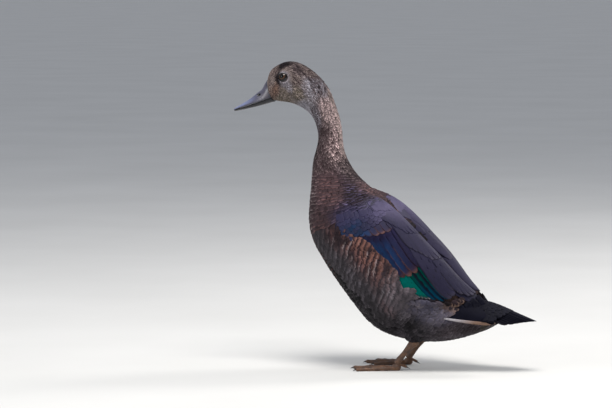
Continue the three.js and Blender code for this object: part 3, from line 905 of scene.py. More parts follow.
def upper_bill():
    """An arch over each row: across by the sine, up by a power of the cosine, with a lip that flares
    along the edge, a dip before the nostrils, a hollow beside the ridge, pits for the nostrils and a
    shallow vault beneath. Also each point's place out along the bill, its height and its pit's depth."""
    out, culmen, half, _ = bill_rows()
    culmen = culmen - BILL_DIP * bell(out, *DIP_PLACE)
    angle = np.linspace(-np.pi / 2, np.pi / 2, 121)[None, :]
    turn = np.abs(angle)
    lip = 1 + BILL_LIP * bell(turn, np.pi / 2, 0.22) * np.clip(out / 20, 0, 1)
    hollow = BILL_HOLLOW * bell(turn, 0.75, 0.28) * soft_step(4, 14, out) * soft_fall(36, 46, out)
    across = half * np.sin(angle) * lip
    up = culmen * np.maximum(np.cos(angle), 0) ** 1.1
    pit = ((out - NOSTRIL[0]) / NOSTRIL[2]) ** 2 + ((up - NOSTRIL[1]) / NOSTRIL[3]) ** 2
    sunk = NOSTRIL_PIT * np.exp(-pit * 1.3) * (turn > 0.3) - NOSTRIL_RIM * bell(pit, 2.6, 0.9)
    sink = (sunk + hollow) * np.sign(angle)
    top = bill_point(out + 0 * angle, across - sink * 0.9, up + MOUTH_GAP / 2 - hollow * 0.3)
    inner = np.linspace(0.94, -0.94, 25)[None, :]
    arch = BILL_VAULT * culmen * (1 - inner ** 2) ** 0.7
    vault = bill_point(out + 0 * inner, half * inner, MOUTH_GAP / 2 + arch)
    share = np.maximum(np.cos(angle), 0) + 0 * out
    places = [np.concatenate([value, np.broadcast_to(fill, vault.shape[:2])], 1) for value, fill in (
        (out + 0 * angle, out), (share, 0.0), (np.exp(-pit * 0.9) * (turn > 0.3), 0.0))]
    return closed_tube(np.concatenate([top, vault], 1)), places


def lower_bill():
    """The same arch turned down, with fine lamellae along its upper edge and a groove beneath."""
    out, _, half, under = bill_rows()
    angle = np.linspace(np.pi / 2, -np.pi / 2, 49)[None, :]
    comb = COMB * np.sin(2 * np.pi * out / COMB_STEP) * bell(np.abs(angle), np.pi / 2, 0.3)
    comb = comb * soft_step(6, 12, out) * soft_fall(42, 48, out)
    groove = BILL_GROOVE * bell(angle, 0, 0.3) * soft_step(0, 8, out) * soft_fall(34, 44, out)
    down = under * np.maximum(np.cos(angle), 0) ** 0.7 - groove
    across = LOWER_SHARE * half * np.sin(angle) + comb * np.sign(angle)
    shell = bill_point(out + 0 * angle, across, -down - MOUTH_GAP / 2)
    inner = np.linspace(-0.76, 0.76, 21)[None, :]
    floor = LOWER_FLOOR * under * (1 - (inner / 0.8) ** 2)
    tongue = bill_point(out + 0 * inner, half * inner, -MOUTH_GAP / 2 - floor)
    return closed_tube(np.concatenate([shell, tongue], 1))


def bill_shades(places, tones):
    """Dark slate, bluer towards the tip and brownish at the root's sides, with painted light: a painted
    highlight over the upper side towards the tip, painted shade at the root where the feathers meet the bill
    and along the lower edge, and black painted shade in the nostrils."""
    out, share, pit = (value.ravel() for value in places)
    layers = (
        # Painted highlight: steel over the upward-facing side towards the tip.
        ("steel_highlight", 1.0, soft_step(14, 42, out) * soft_step(0.15, 0.5, share)),
        ("dun", 0.7, 0.5 * soft_fall(6, 22, out) * soft_fall(0.35, 0.75, share)),
        # Painted shade along the lower edge, where the side turns down.
        ("horn", 1.0, 0.75 * soft_fall(0.0, 0.3, share)),
        # Painted shade at the root, where the feathers meet the bill.
        ("horn", 0.8, 0.6 * soft_fall(0.5, 5, out)),
        # Black painted shade in the nostrils' pits.
        ("horn", 0.12, soft_step(0.2, 0.6, pit)),
    )
    shade = rows_of(tones["slate"], len(out))
    for name, strength, cover in layers:
        shade = blend(shade, tones[name] * strength, cover)
    return capped(shade)


def make_bill(tones):
    dark, nail = horn_material("bill_horn", tones), horn_material("nail_horn", tones)
    shell, places = upper_bill()
    shades = {"Shade": bill_shades(places, tones)}
    finish_piece(new_mesh("bill_upper_fine", *shell, bill_material(), colours=shades), "bill", "bill_upper")
    finish_piece(new_mesh("bill_lower_fine", *lower_bill(), dark), "bill", "bill_lower")
    out, up, length, half, deep = NAIL
    centre = bill_point(np.array(out), np.array(0.0), np.array(up))
    hooked = ball(centre, (length, half, deep), -BILL_DROOP)
    finish_piece(new_mesh("bill_nail_fine", *hooked, nail), "horn", "bill_nail")


# ---- Legs ----


def foot_point(side, length, splay, z):
    """A point of the foot: a distance ahead of the ankle, at a splay in degrees outwards."""
    length, splay, z = np.broadcast_arrays(length, np.radians(splay), z)
    return np.stack([ANKLE[0] - length * np.cos(splay), -side * (ANKLE[1] + length * np.sin(splay)), z], -1)


KNUCKLE, SCUTE, SCUTE_STEP = 0.12, 0.05, 2.1
FILLET, WRINKLE = 0.9, 0.12
TARSUS_RIPPLE, HALLUX_RIPPLE, LEG_SCUTE_STEP = 0.06, 0.05, 2.4
SHANK_END = (HOCK[0] - 1, HOCK[1], HOCK[2] - 5, 4.6)
HOCK_HALVES, ANKLE_HALVES, ANKLE_HEIGHT = (6.2, 4.8, 5.6), (6, 5, 5.2), 4.2
HALLUX_ROOT = (ANKLE[0] + 2, ANKLE[1] - 1, ANKLE[2], HALLUX[3] * 1.1)
HALLUX_TIP = (*HALLUX[:3], HALLUX[3] * 0.8)
HALLUX_WAIST = 1.7
FUSE_CELL, FUSE_SMOOTH = 0.45, 2
CLAW_SINK, CLAW_TOP, CLAW_DROP, HIND_CLAW_RADIUS = 1.5, 2.3, 1.6, 1.1


def toe_bar(side, length, splay, radius, joints):
    """A tapering toe with swollen joints, and a fine ring for each scute."""
    u = np.linspace(0, 1, 150)
    knuckle = 1 + KNUCKLE * np.cos(np.pi * joints * u) ** 6
    scutes = 1 + SCUTE * np.abs(np.sin(np.pi * u * length / SCUTE_STEP))
    size = radius * (1.15 - 0.45 * u) * knuckle
    size = size * np.sqrt(np.clip(1 - np.clip((u - 0.96) / 0.05, 0, 1) ** 2, 0.05, 1))
    return bar(foot_point(side, length * u, splay, size * 0.8), size * scutes)


def web_length(splay):
    """Length of the web along a splay, drawn in between the toes."""
    share = np.abs(splay) / TOES["outer"][1]
    outer_length = np.where(splay < 0, TOES["inner"][0], TOES["outer"][0])
    straight = TOES["middle"][0] + (outer_length - TOES["middle"][0]) * share
    return straight * WEB_REACH * (1 - WEB_SCALLOP * np.sin(np.pi * share) ** 2)


def web_slab(side):
    """A thin sheet over the floor, thicker beside the toes and finely wrinkled along them."""
    splay = np.linspace(TOES["inner"][1], TOES["outer"][1], 121)[:, None]
    share = np.linspace(0.02, 1, 60)[None, :]
    between = np.pi * splay / TOES["outer"][1]
    fillet = FILLET * np.cos(between) ** 8
    wrinkle = WRINKLE * np.sin(splay * 1.1 + 3 * share) * np.sin(between) ** 2
    top = WEB_THICK * (1 - 0.35 * share ** 4) + fillet * (1 - 0.7 * share) + wrinkle
    length = web_length(splay) * share
    upper = foot_point(side, length, splay, top)
    lower = foot_point(side, length, splay, 0.0)
    return closed_tube(np.concatenate([upper, lower[:, ::-1]], 1))


def leg_bar(side, low, high, waist, ripple, steps):
    """A straight bar between two places with a waist halfway and rings of scutes down it."""
    u = np.linspace(0, 1, steps)
    start, stop = np.array(high, float), np.array(low, float)
    line = start + (stop - start) * u[:, None]
    dip = (line[:, 3] - waist) * np.sin(np.pi * u) ** 2
    length = np.linalg.norm(stop[:3] - start[:3])
    radii = (line[:, 3] - dip) * (1 + ripple * np.abs(np.sin(np.pi * u * length / LEG_SCUTE_STEP)))
    return bar(line[:, :3] * (1, -side, 1), radii, 24)


def make_legs(tones):
    scutes = scute_material(tones["leg_dark"], tones["leg"])
    horn = horn_material("claw_horn", tones)
    u = np.linspace(0, 1, 24)
    taper = np.sqrt(np.clip(1 - (u - 0.04) ** 2, 0, 1)) * (1 - 0.7 * u)
    for name, side in SIDES:
        shells = [
            leg_bar(side, ANKLE, SHANK_END, TARSUS_WAIST, TARSUS_RIPPLE, 120),
            ball(np.array([HOCK[0] + 1, -side * HOCK[1], HOCK[2] - 5]), HOCK_HALVES),
            ball(np.array([ANKLE[0], -side * ANKLE[1], ANKLE_HEIGHT]), ANKLE_HALVES),
            web_slab(side),
            *(toe_bar(side, *row) for row in TOES.values()),
            leg_bar(side, HALLUX_TIP, HALLUX_ROOT, HALLUX_WAIST, HALLUX_RIPPLE, 40),
        ]
        leg = fused(new_mesh(f"leg_{name}", *join(shells), scutes), FUSE_CELL, FUSE_SMOOTH)
        finish_piece(leg, "leg", f"tarsus_{name}", f"foot_{name}", f"hallux_{name}")
        claws = []
        for length, splay, *_ in TOES.values():
            out = length - CLAW_SINK + CLAW_LENGTH * u
            line = foot_point(side, out, splay, CLAW_TOP - CLAW_DROP * u ** 2)
            claws.append(bar(line, CLAW_RADIUS * taper))
        x, y, z = HALLUX[:3]
        hind = np.stack([x - 1 + 5 * u, -side * (y - u), z - 1.2 * u - 1.4 * u ** 2], -1)
        claws.append(bar(hind, HIND_CLAW_RADIUS * taper))
        nodes = [f"claw_{toe}_{name}" for toe in TOES] + [f"hallux_claw_{name}"]
        finish_piece(new_mesh(f"claws_{name}", *join(claws), horn), "horn", *nodes)


# ---- Feathers ----


def vane_shape(base, swell_end, taper_start, power_out):
    """Half width share of a vane from its quill to its tip: it swells from a base, is parallel, and
    rounds off. A higher power is a squarer tip."""
    def shape(v):
        swell = base + (1 - base) * np.sin(np.pi / 2 * np.clip(v / swell_end, 0, 1))
        return swell * np.sqrt(1 - np.clip((v - taper_start) / (1 - taper_start), 0, 1) ** power_out)

    return shape


round_vane = vane_shape(0.45, 0.5, 0.5, 2.3)
broad_vane = vane_shape(0.5, 0.45, 0.7, 3.6)
long_vane = vane_shape(0.6, 0.3, 0.7, 2.4)
# Builds of feathers: rows from quill to tip, columns across, and the vane's shape.
ROUND_ROWS = np.array([0.0, 0.3, 0.56, 0.77, 0.92])
TINY = (np.array([0.0, 0.42, 0.78]), 3, round_vane)
MIDDLE = (ROUND_ROWS, 5, round_vane)
BROAD = (ROUND_ROWS, 5, broad_vane)
LESSER = (ROUND_ROWS, 7, round_vane)
FINE = (np.array([0.0, 0.24, 0.4, 0.52, 0.61, 0.69, 0.76, 0.82, 0.88, 0.94]), 7, round_vane)
LONG = (np.array([0.0, 0.08, 0.2, 0.34, 0.48, 0.62, 0.74, 0.84, 0.92, 0.97]), 7, long_vane)
RAGGED = 0.09  # chance in a vane's width where a tract has ragged edges
PATCH, WING_PATCH, COVERT_PATCH, TAIL_PATCH = 0.003, 0.012, 0.01, 0.02  # a feather's size in the bake map


def unwrap(at, angle):
    """The skin slit along the belly and laid flat: across by the turn, up by the length along."""
    up = arc(at) / ARC_LENGTH[-1]
    return np.stack([0.5 + 0.94 * wrapped(angle) / (2 * np.pi), 0.03 + 0.94 * up], -1)


def unwrap_tail(x, across):
    """The tail's roof laid flat."""
    length = (x - TAIL[0][0]) / (TAIL[-1][0] - TAIL[0][0])
    return np.stack([0.5 + 0.44 * across, 0.05 + 0.85 * length], -1)


ARC_POINTS, RING_POINTS = 600, 73  # points along and round the body that measure its length and girth
ARC_AT = np.linspace(0, LAST, ARC_POINTS)
ARC_STEPS = np.linalg.norm(np.diff(body_point(ARC_AT, np.full(ARC_POINTS, np.pi / 2)), axis=0), axis=-1)
ARC_LENGTH = np.concatenate([[0], np.cumsum(ARC_STEPS)])


def arc(at):
    """Millimetres along the body from the bill's root to a station."""
    return np.interp(at, ARC_AT, ARC_LENGTH)


def spread(surface, at, across):
    """Millimetres to a step of each of a surface's two parameters, at each place."""
    nudge, flat = 5e-3, np.zeros(np.broadcast(at, across).shape)
    along = surface(at + nudge, across + flat, flat) - surface(at - nudge, across + flat, flat)
    around = surface(at + flat, across + nudge, flat) - surface(at + flat, across - nudge, flat)
    return tuple(np.maximum(np.linalg.norm(way, axis=-1) / (2 * nudge), 1.0) for way in (along, around))


def tips_from(surface, at, across, heading, length):
    """Where feathers end, from their roots, their heading off straight back, and their length."""
    along, around = spread(surface, at, across)
    half_at = at + length * np.cos(heading) / along / 2
    half_across = across + length * np.sin(heading) / around / 2
    along, around = spread(surface, half_at, half_across)
    return at + length * np.cos(heading) / along, across + length * np.sin(heading) / around


class Tract:
    """Feathers of one build gathered as arrays, then made one closed mesh."""

    def __init__(self, build, surface=form, rag=None):
        self.rows, self.columns, self.vane = build
        self.surface, self.rag = surface, rag
        self.points, self.colours, self.roots = [], [], []

    def lay(self, root, tip, width, low, high, camber, paint, tilt=0.0, bow=0.0):
        """Add feathers. A point lies at a share v from root to tip and u across the vane's width.
        Its height climbs from low to high, the camber lifts the shaft over the edges, the tilt lifts
        the edge away from the back, and the bow swings the middle away from the back."""
        at, across = (np.asarray(value, float)[:, None] for value in root)
        tip_at, tip_across = (np.asarray(value, float)[:, None] for value in tip)
        width, low, high, camber, tilt = (
            np.broadcast_to(value, len(at))[:, None] for value in (width, low, high, camber, tilt))
        side = np.where(across < 0, -1.0, 1.0)
        v = self.rows[None, :]
        line_at = at + (tip_at - at) * v
        line_across = across + (tip_across - across) * v + bow * side * np.sin(np.pi * v)
        along, around = spread(self.surface, line_at, line_across)
        step_at, step_across = along * (tip_at - at), around * (tip_across - across)
        size = np.maximum(np.hypot(step_at, step_across), 1e-6)
        u = np.linspace(-1, 1, self.columns)
        reach = (width / 2 * self.vane(v))[..., None] * u
        if self.rag is not None:
            reach = reach * (1 + self.rag.normal(0, RAGGED, reach.shape))
        grid_at = line_at[..., None] - (step_across / size / along)[..., None] * reach
        grid_across = line_across[..., None] + (step_at / size / around)[..., None] * reach
        height = (low + (high - low) * v ** 0.8)[..., None]
        height = height + (camber * self.vane(v))[..., None] * (1 - u ** 2) + (tilt * side)[..., None] * u
        points = self.surface(grid_at, grid_across, height)
        tips = self.surface(tip_at, tip_across, high + 0 * tip_at)
        count = len(points)
        shares_u = np.broadcast_to(side[..., None] * u, points.shape[:3])
        shares_v = np.broadcast_to(v[..., None], points.shape[:3])
        vane_colours = paint(shares_u, shares_v).reshape(count, -1, 3)
        tip_colours = paint(np.zeros((count, 1)), np.ones((count, 1))).reshape(count, 1, 3)
        self.points.append(np.concatenate([points.reshape(count, -1, 3), tips], 1))
        self.colours.append(np.concatenate([vane_colours, tip_colours], 1))
        self.roots.append(np.concatenate([at, across], 1))

    def one_feather(self):
        """Faces of one feather, a ring of columns at each row, closed by a fan to the tip and a cap at
        the root. Also each corner's place on the vane, and which faces are the underside."""
        rows, columns = len(self.rows), self.columns
        ring = np.arange(rows * columns).reshape(rows, columns)
        after = np.roll(ring, -1, 1)
        a, b, c, d = ring[:-1].T.ravel(), after[:-1].T.ravel(), after[1:].T.ravel(), ring[1:].T.ravel()
        strips = np.stack([np.stack([a, b, c], 1), np.stack([a, c, d], 1)], 1).reshape(-1, 3)
        fan = np.stack([ring[-1], after[-1], np.full(columns, rows * columns)], 1)
        cap = np.stack([np.full(columns - 2, ring[0, 0]), ring[0, 2:], ring[0, 1:-1]], 1)
        faces = np.concatenate([strips, fan, cap])
        under = np.zeros(len(faces), bool)
        under[len(strips) - 2 * (rows - 1):len(strips)] = True
        under[len(strips) + columns - 1:] = True
        u = np.append(np.tile(np.linspace(0, 1, columns), rows), 0.5)
        v = np.append(np.repeat(self.rows, columns), 1.0)
        return faces, np.stack([u, v], 1)[faces], under

    def build(self, name, material, patch, laid_flat=unwrap):
        """The tract as one mesh. The Vane map runs over each feather, and in the OFBake map each has
        a small patch at its root's place on the skin laid flat, its upper side beside its underside."""
        points, colours, roots = (np.concatenate(v) for v in (self.points, self.colours, self.roots))
        faces, vane, under = self.one_feather()
        middle = points - points.mean(1, keepdims=True)
        a, b, c = (middle[:, faces[:, k]] for k in range(3))
        inside_out = np.einsum("fij,fij->f", a, np.cross(b, c)) < 0
        every = faces[None] + (np.arange(len(points)) * points.shape[1])[:, None, None]
        cell = np.where(under[:, None, None], vane * (0.2, 1.0) + (0.78, 0.0), vane * (0.72, 1.0)) - 0.5
        bake = laid_flat(roots[:, 0], roots[:, 1])[:, None, None, :] + cell[None] * patch
        vanes = np.broadcast_to(vane, bake.shape)
        flip = inside_out[:, None, None]
        every = np.where(flip, every[..., ::-1], every)
        bake = np.where(flip[..., None], bake[:, :, ::-1], bake)
        vanes = np.where(flip[..., None], vanes[:, :, ::-1], vanes)
        return new_mesh(
            name, points.reshape(-1, 3), every.reshape(-1, 3), material,
            uvs={"Vane": vanes.reshape(-1, 2), "OFBake": bake.reshape(-1, 2)},
            colours={"Plumage": colours.reshape(-1, 3)}, flat=np.tile(under, len(points)))


# ---- How feathers are marked ----
# Each marking returns a function of u, from -1 at the edge towards the back to 1, and v, 0 to 1.


def each(values, u):
    """One value or colour a feather, spread over its points."""
    values = np.asarray(values)
    return values.reshape(values.shape[0], *([1] * (u.ndim - 1)), *values.shape[1:])


def fading(first, last, places):
    """Plain vanes that turn from one colour to another between two places of their length."""
    def paint(u, v):
        return blend(each(first, u) + 0 * u[..., None], each(last, u), soft_step(*places, v))

    return paint


def streaked(ground, fringe, chance):
    """A dark shaft streak on a paler vane."""
    weight = chance.uniform(0.6, 1.0, len(ground))

    def paint(u, v):
        streak = (1 - np.abs(u)) ** 0.8 * soft_step(0.05, 0.4, v) * each(weight, u)
        return blend(each(fringe * 1.15, u), each(ground * 0.75, u), streak)

    return paint


def flecked(ground, fringe, chance):
    """A dark vane whose tip and outer edges are pale, broken by the dark shaft."""
    weight = chance.uniform(0.5, 1.0, len(ground))

    def paint(u, v):
        off = np.abs(u)
        pale = np.maximum(soft_step(0.45, 0.95, off) * soft_step(0.3, 0.55, v), soft_step(0.7, 0.88, v))
        pale = pale * (1 - 0.7 * soft_fall(0.0, 0.3, off) * soft_fall(0.8, 1.0, v))
        return blend(each(ground * 0.7, u), each(fringe * 1.1, u), pale * each(weight, u))

    return paint


def rim_of(u, v, side, start, edge):
    """1 on a vane's border: the sides from a place outwards and back from a start, and the tip."""
    return np.maximum(soft_step(side, 1.0, np.abs(u)) * soft_step(*start, v), soft_step(*edge, v))


def scalloped(ground, fringe, chance, edge=0.84, side=0.55):
    """A dark vane with a pale border, widest at the tip."""
    weight = chance.uniform(0.55, 1.0, len(ground))

    def paint(u, v):
        border = rim_of(u, v, side, (0.25, 0.6), (edge, 0.97))
        return blend(each(ground, u), each(fringe, u), border * each(weight, u))

    return paint


def dusky(ground, fringe, chance):
    """A dull vane with a faint paler border."""
    return scalloped(blend(ground, fringe, 0.25), blend(ground, fringe, 0.8), chance)


def banded(ground, fringe, chance):
    """A dark vane with a thin pale line along its broad tip, so that rows of tips make wavy bands."""
    weight = chance.uniform(0.35, 0.8, len(ground))

    def paint(u, v):
        line = soft_step(0.86, 0.94, v + 0.08 * np.abs(u) ** 3)
        return blend(each(ground * 0.9, u), each(fringe, u), line * each(weight, u))

    return paint


def flank_streaks(place, ground, fringe, bar, chance):
    """Feathers that share one pattern of broken streaks, which run down and a little forward across
    them: each streak is dark, then browner, then a thin pale line. place gives each feather's root
    and tip in millimetres along and around the body, and its width."""
    lattice, breaks = chance.uniform(-1, 1, (LATTICE, LATTICE)), chance.uniform(0, 1, (LATTICE, LATTICE))
    root, tip, width = place
    way = unit(tip - root)
    sideways = np.stack([-way[:, 1], way[:, 0]], -1) * width[:, None] / 2

    def paint(u, v):
        spot = each(root, u) + each(tip - root, u) * v[..., None] + each(sideways, u) * u[..., None]
        x, y = spot[..., 0], spot[..., 1]
        along, across = STREAK_DOWN * y + STREAK_BACK * x, STREAK_DOWN * x - STREAK_BACK * y
        row = along / STREAK_LENGTH + 0.6 * lattice_noise(lattice, across / 11, along / 30)
        above, below = (breaks[level(row).astype(int) % LATTICE, 5] for level in (np.floor, np.ceil))
        step = soft_step(0.8, 1.0, row % 1)
        shift = above * (1 - step) + below * step
        sway = 3.0 * lattice_noise(lattice, across / 17, along / 22)
        sway = sway + 1.1 * lattice_noise(lattice, across / 5, along / 6)
        phase = (across + sway) / STREAK_STEP + 0.9 * shift + 40
        saw, number = phase % 1, np.floor(phase).astype(int)
        broken = lattice_noise(breaks, number + 0.0, along / 9 + 7 * (number % 5))
        cloud = np.clip(1.5 * lattice_noise(breaks, across / 7, along / 10) - 0.1, 0, 1)
        colour = blend(each(ground, u), each(fringe, u), soft_step(0.15, 0.7, saw) * cloud)
        pale = bell(saw, 0.88, 0.1) * np.clip(2.2 * broken - 0.9, 0, 0.75)
        return blend(colour, each(bar, u), pale)

    return paint


def glossed(ground, gloss, edge, glow, rim, chance):
    """A smooth wing feather: gloss on the outer vane between two places, and a thin coloured rim."""
    weight = chance.uniform(0.7, 1.0, len(ground))

    def paint(u, v):
        lit = soft_step(-0.3, 0.25, u) * soft_step(glow[0], glow[0] + 0.15, v) * soft_fall(glow[1], 1.0, v)
        colour = blend(each(ground, u), each(gloss, u), lit * each(weight, u))
        return blend(colour, each(edge, u), rim_of(u, v, 0.7, (0.5, 0.65), (0.9, 0.98)) * rim)

    return paint


def speculum(ground, gloss, black, white):
    """A secondary: gloss on the outer vane, then a black band and a thin white trailing edge."""
    def paint(u, v):
        lit = soft_step(-0.65, -0.3, u) * soft_step(0.3, 0.4, v)
        colour = blend(each(ground, u), each(gloss, u), lit)
        colour = blend(colour, each(black, u), soft_step(0.9, 0.94, v))
        return blend(colour, each(white, u), soft_step(0.965, 0.985, v))

    return paint


def shifting(ground, first, second):
    """A long inner secondary whose outer vane turns from one gloss to another on the way to its tip."""
    def paint(u, v):
        gloss = blend(each(first, u), each(second, u), soft_step(0.5, 0.8, v))
        return blend(each(ground, u), gloss, soft_step(-0.15, 0.3, u))

    return paint


# ---- The coat on the body ----

# Lower edge of the wing that shows, where the flank's feathers lie over it: station, degrees.
FLANK_LINE = np.array([
    (15.2, 84), (16.1, 93), (16.9, 92), (17.5, 84), (18.05, 75), (18.6, 72), (19.0, 69), (19.35, 68),
    (19.7, 74), (20.1, 78), (20.5, 78)], float)
# Rear edge of the folded wing's feathers: station, degrees.
REAR_LINE = np.array([
    (15.0, 99), (20.1, 81), (20.4, 74), (20.85, 62), (21.2, 52), (21.35, 42), (21.5, 34), (22.0, 26),
    (22.6, 12)], float)
FLANK = (16.1, 20.0, 60)  # first and last station, and how many degrees it reaches below its line
# By station: the step from one feather to the next, and millimetres to one radian round the body.
PITCH = (
    (0, 2, 4, 7, 10, 13, 13.8, 15, 18, 20, 22, 25),
    (1.0, 1.25, 1.5, 1.9, 2.6, 3.4, 4.0, 4.5, 4.8, 4.4, 3.8, 3.8))
GIRTH = ((0, 4, 9, 14, 18, 25), (13, 23, 17, 29, 58, 40))
LATTICE = 97  # points along each side of a table of random values
# By station: degrees from the back to the crown's edge, and to the lower edge of the tail's coverts.
CROWN_EDGE = ((0, 3, 5, 7.6), (30, 40, 46, 70))
TAIL_SIDE_EDGE = ((21.5, 22.2, 23.1, 24.4), (83, 82, 88, 112))
TAIL_SIDE_START = 21.55
# By degrees from the back: the station where the wing's own feathers start.
WING_START = ((20, 45, 75, 95), (16.5, 16.3, 15.9, 15.75))
MANTLE_START, BACK_EDGE = 16.2, 60
# The flank's feathers, in millimetres, and the streaks that run over them: their step from one to the
# next, their length, and how much they run down and back.
FLANK_STEP, FLANK_NARROW, FLANK_LENGTH, FLANK_WIDTH, FLANK_GIRTH = 4.6, 0.95, 18.0, 8.4, 58
FLANK_TURN = math.radians(30)  # how far the feathers by the wing turn up
STREAK_STEP, STREAK_LENGTH, STREAK_DOWN, STREAK_BACK = 7.4, 13, 0.86, 0.51


def flank_share(at, angle):
    """How far below the flank's line, as a share of its reach: 0 at the line, 1 at its lower end."""
    return (turned(angle) - np.interp(at, FLANK_LINE[:, 0], FLANK_LINE[:, 1])) / FLANK[2]


def on_flank(at, angle):
    share = flank_share(at, angle)
    return (at > FLANK[0]) & (at < FLANK[1]) & (share > 0) & (share < 1)


def on_crown(at, angle):
    return turned(angle) < np.interp(at, *CROWN_EDGE)


def on_mantle(at, angle):
    """True between the wings, behind the neck's root."""
    return (at > MANTLE_START) & (turned(angle) <= BACK_EDGE)


def on_tail_sides(at, angle):
    """True where the long dark coverts beside the tail lie."""
    return (at > TAIL_SIDE_START) & (turned(angle) < np.interp(at, *TAIL_SIDE_EDGE))


def on_wing(at, angle):
    """True where the folded wing's own feathers show, above the flank's line and the wing's rear edge."""
    down, thick = wing_place(at, angle)
    above = turned(angle) < np.interp(at, REAR_LINE[:, 0], REAR_LINE[:, 1])
    clear = (flank_share(at, angle) < 0) | (at > FLANK[1])
    behind = at > np.interp(turned(angle), *WING_START)
    return (down > 0.02) & (thick > 0) & above & behind & clear


def lattice_noise(lattice, x, y):
    """Random values on a lattice, read in smooth proportion between its points."""
    i, j = np.floor(x).astype(int), np.floor(y).astype(int)
    u, v = soft_step(0, 1, x - i), soft_step(0, 1, y - j)
    near, far = (
        lattice[row % LATTICE, j % LATTICE] * (1 - v) + lattice[row % LATTICE, (j + 1) % LATTICE] * v
        for row in (i, i + 1))
    return near * (1 - u) + far * u


def mottle(at, angle, long, wide, chance):
    """Smooth noise between -1 and 1 over the body, in patches of a length and a width."""
    lattice = chance.uniform(-1, 1, (LATTICE, LATTICE))
    around = (wrapped(angle) + np.pi) * np.interp(at, *GIRTH)
    return lattice_noise(lattice, arc(at) / long, around / wide)


def paving(ends, pitch, chance, narrow=0.8, unevenness=0.14):
    """Places of roots: rings a pitch apart along the body, each with as many places as its girth
    holds, every other ring half a step round, and every place a little off."""
    places, steps = [], []
    at, shift = ends[0], 0.0
    ring = np.linspace(0, 2 * np.pi, RING_POINTS)
    while at < ends[1]:
        step = pitch(at)
        round_body = body_point(np.full(RING_POINTS, at), ring)
        girth = np.linalg.norm(np.diff(round_body, axis=0), axis=-1).sum()
        count = max(8, int(girth / (step * narrow)))
        angle = (np.arange(count) + shift + chance.normal(0, 0.16, count)) * 2 * np.pi / count
        length = arc(at)
        place = np.interp(length + chance.normal(0, unevenness, count) * step, ARC_LENGTH, ARC_AT)
        places.append(np.stack([place, wrapped(angle)]))
        steps.append(np.full(count, step))
        at = float(np.interp(length + step, ARC_LENGTH, ARC_AT))
        shift = 0.5 - shift
    return *np.concatenate(places, 1), np.concatenate(steps)


def clear_of_eyes(root, tip):
    """True for feathers that neither start, pass nor end on an eye or its ring of small feathers."""
    clear = np.ones(len(root[0]), bool)
    for share, least in ((0, 8.6), (0.5, 6.8), (1, 7.0)):
        at, angle = (first + (last - first) * share for first, last in zip(root, tip))
        clear &= eye_distance(body(at, angle, 0 * at)) > least
    return clear | (root[0] > HEAD_END)


# Bands of the coat: first and last station, then how its feathers are laid.
# narrow: step across over step along. long: length over step along. wide: width over step across.
# uneven: chance in the rows. clump: length and width of the patches that share a tint, and its strength.
FACE_LAY = dict(ends=(0.0, 7.6), narrow=0.95, long=3.6, wide=1.5, uneven=0.3, look="face_feathers")
BANDS = {
    "face": dict(FACE_LAY, clump=(13, 1.5, 0.32)),
    "crown": dict(FACE_LAY, clump=(4, 1.7, 0.5)),
    "neck": dict(
        ends=(7.6, 13.7), narrow=0.5, long=2.8, wide=1.8, uneven=0.3, clump=(12, 1.8, 0.4),
        look="face_feathers"),
    "breast": dict(
        ends=(13.7, 19.0), narrow=0.95, long=2.3, wide=2.1, uneven=0.05, clump=(22, 22, 0.2),
        look="body_feathers"),
    "belly": dict(
        ends=(19.0, 24.3), narrow=1.0, long=2.4, wide=1.8, uneven=0.12, clump=(18, 14, 0.3),
        look="body_feathers"),
}
# Pieces of the coat: band, build, number of its series of chance, marking, and where it lies.
COAT_PIECES = {
    "coat_face": ("face", TINY, 1, streaked, lambda at, angle: ~on_crown(at, angle)),
    "coat_crown": ("crown", TINY, 1, flecked, on_crown),
    "coat_neck": ("neck", MIDDLE, 2, flecked, lambda at, angle: at > 0),
    "coat_breast": ("breast", BROAD, 3, banded, lambda at, angle: ~on_mantle(at, angle)),
    "coat_mantle": ("breast", MIDDLE, 3, scalloped, on_mantle),
    "coat_belly": ("belly", BROAD, 5, dusky, lambda at, angle: turned(angle) > BACK_EDGE),
    "coat_rump": ("belly", MIDDLE, 5, scalloped, lambda at, angle: turned(angle) <= BACK_EDGE),
}
# Heights of a body feather, as shares of the coat's depth, and how far the mantle's lie lower.
ROOT_SINK, TIP_SINK, MANTLE_SINK = 0.5, 0.12, 0.9
NAPE_RUFFLE = 0.9


def chance_of(coat, number):
    """A series of chance of its own for each part of the coat."""
    return np.random.default_rng(coat.seed * 100 + number)


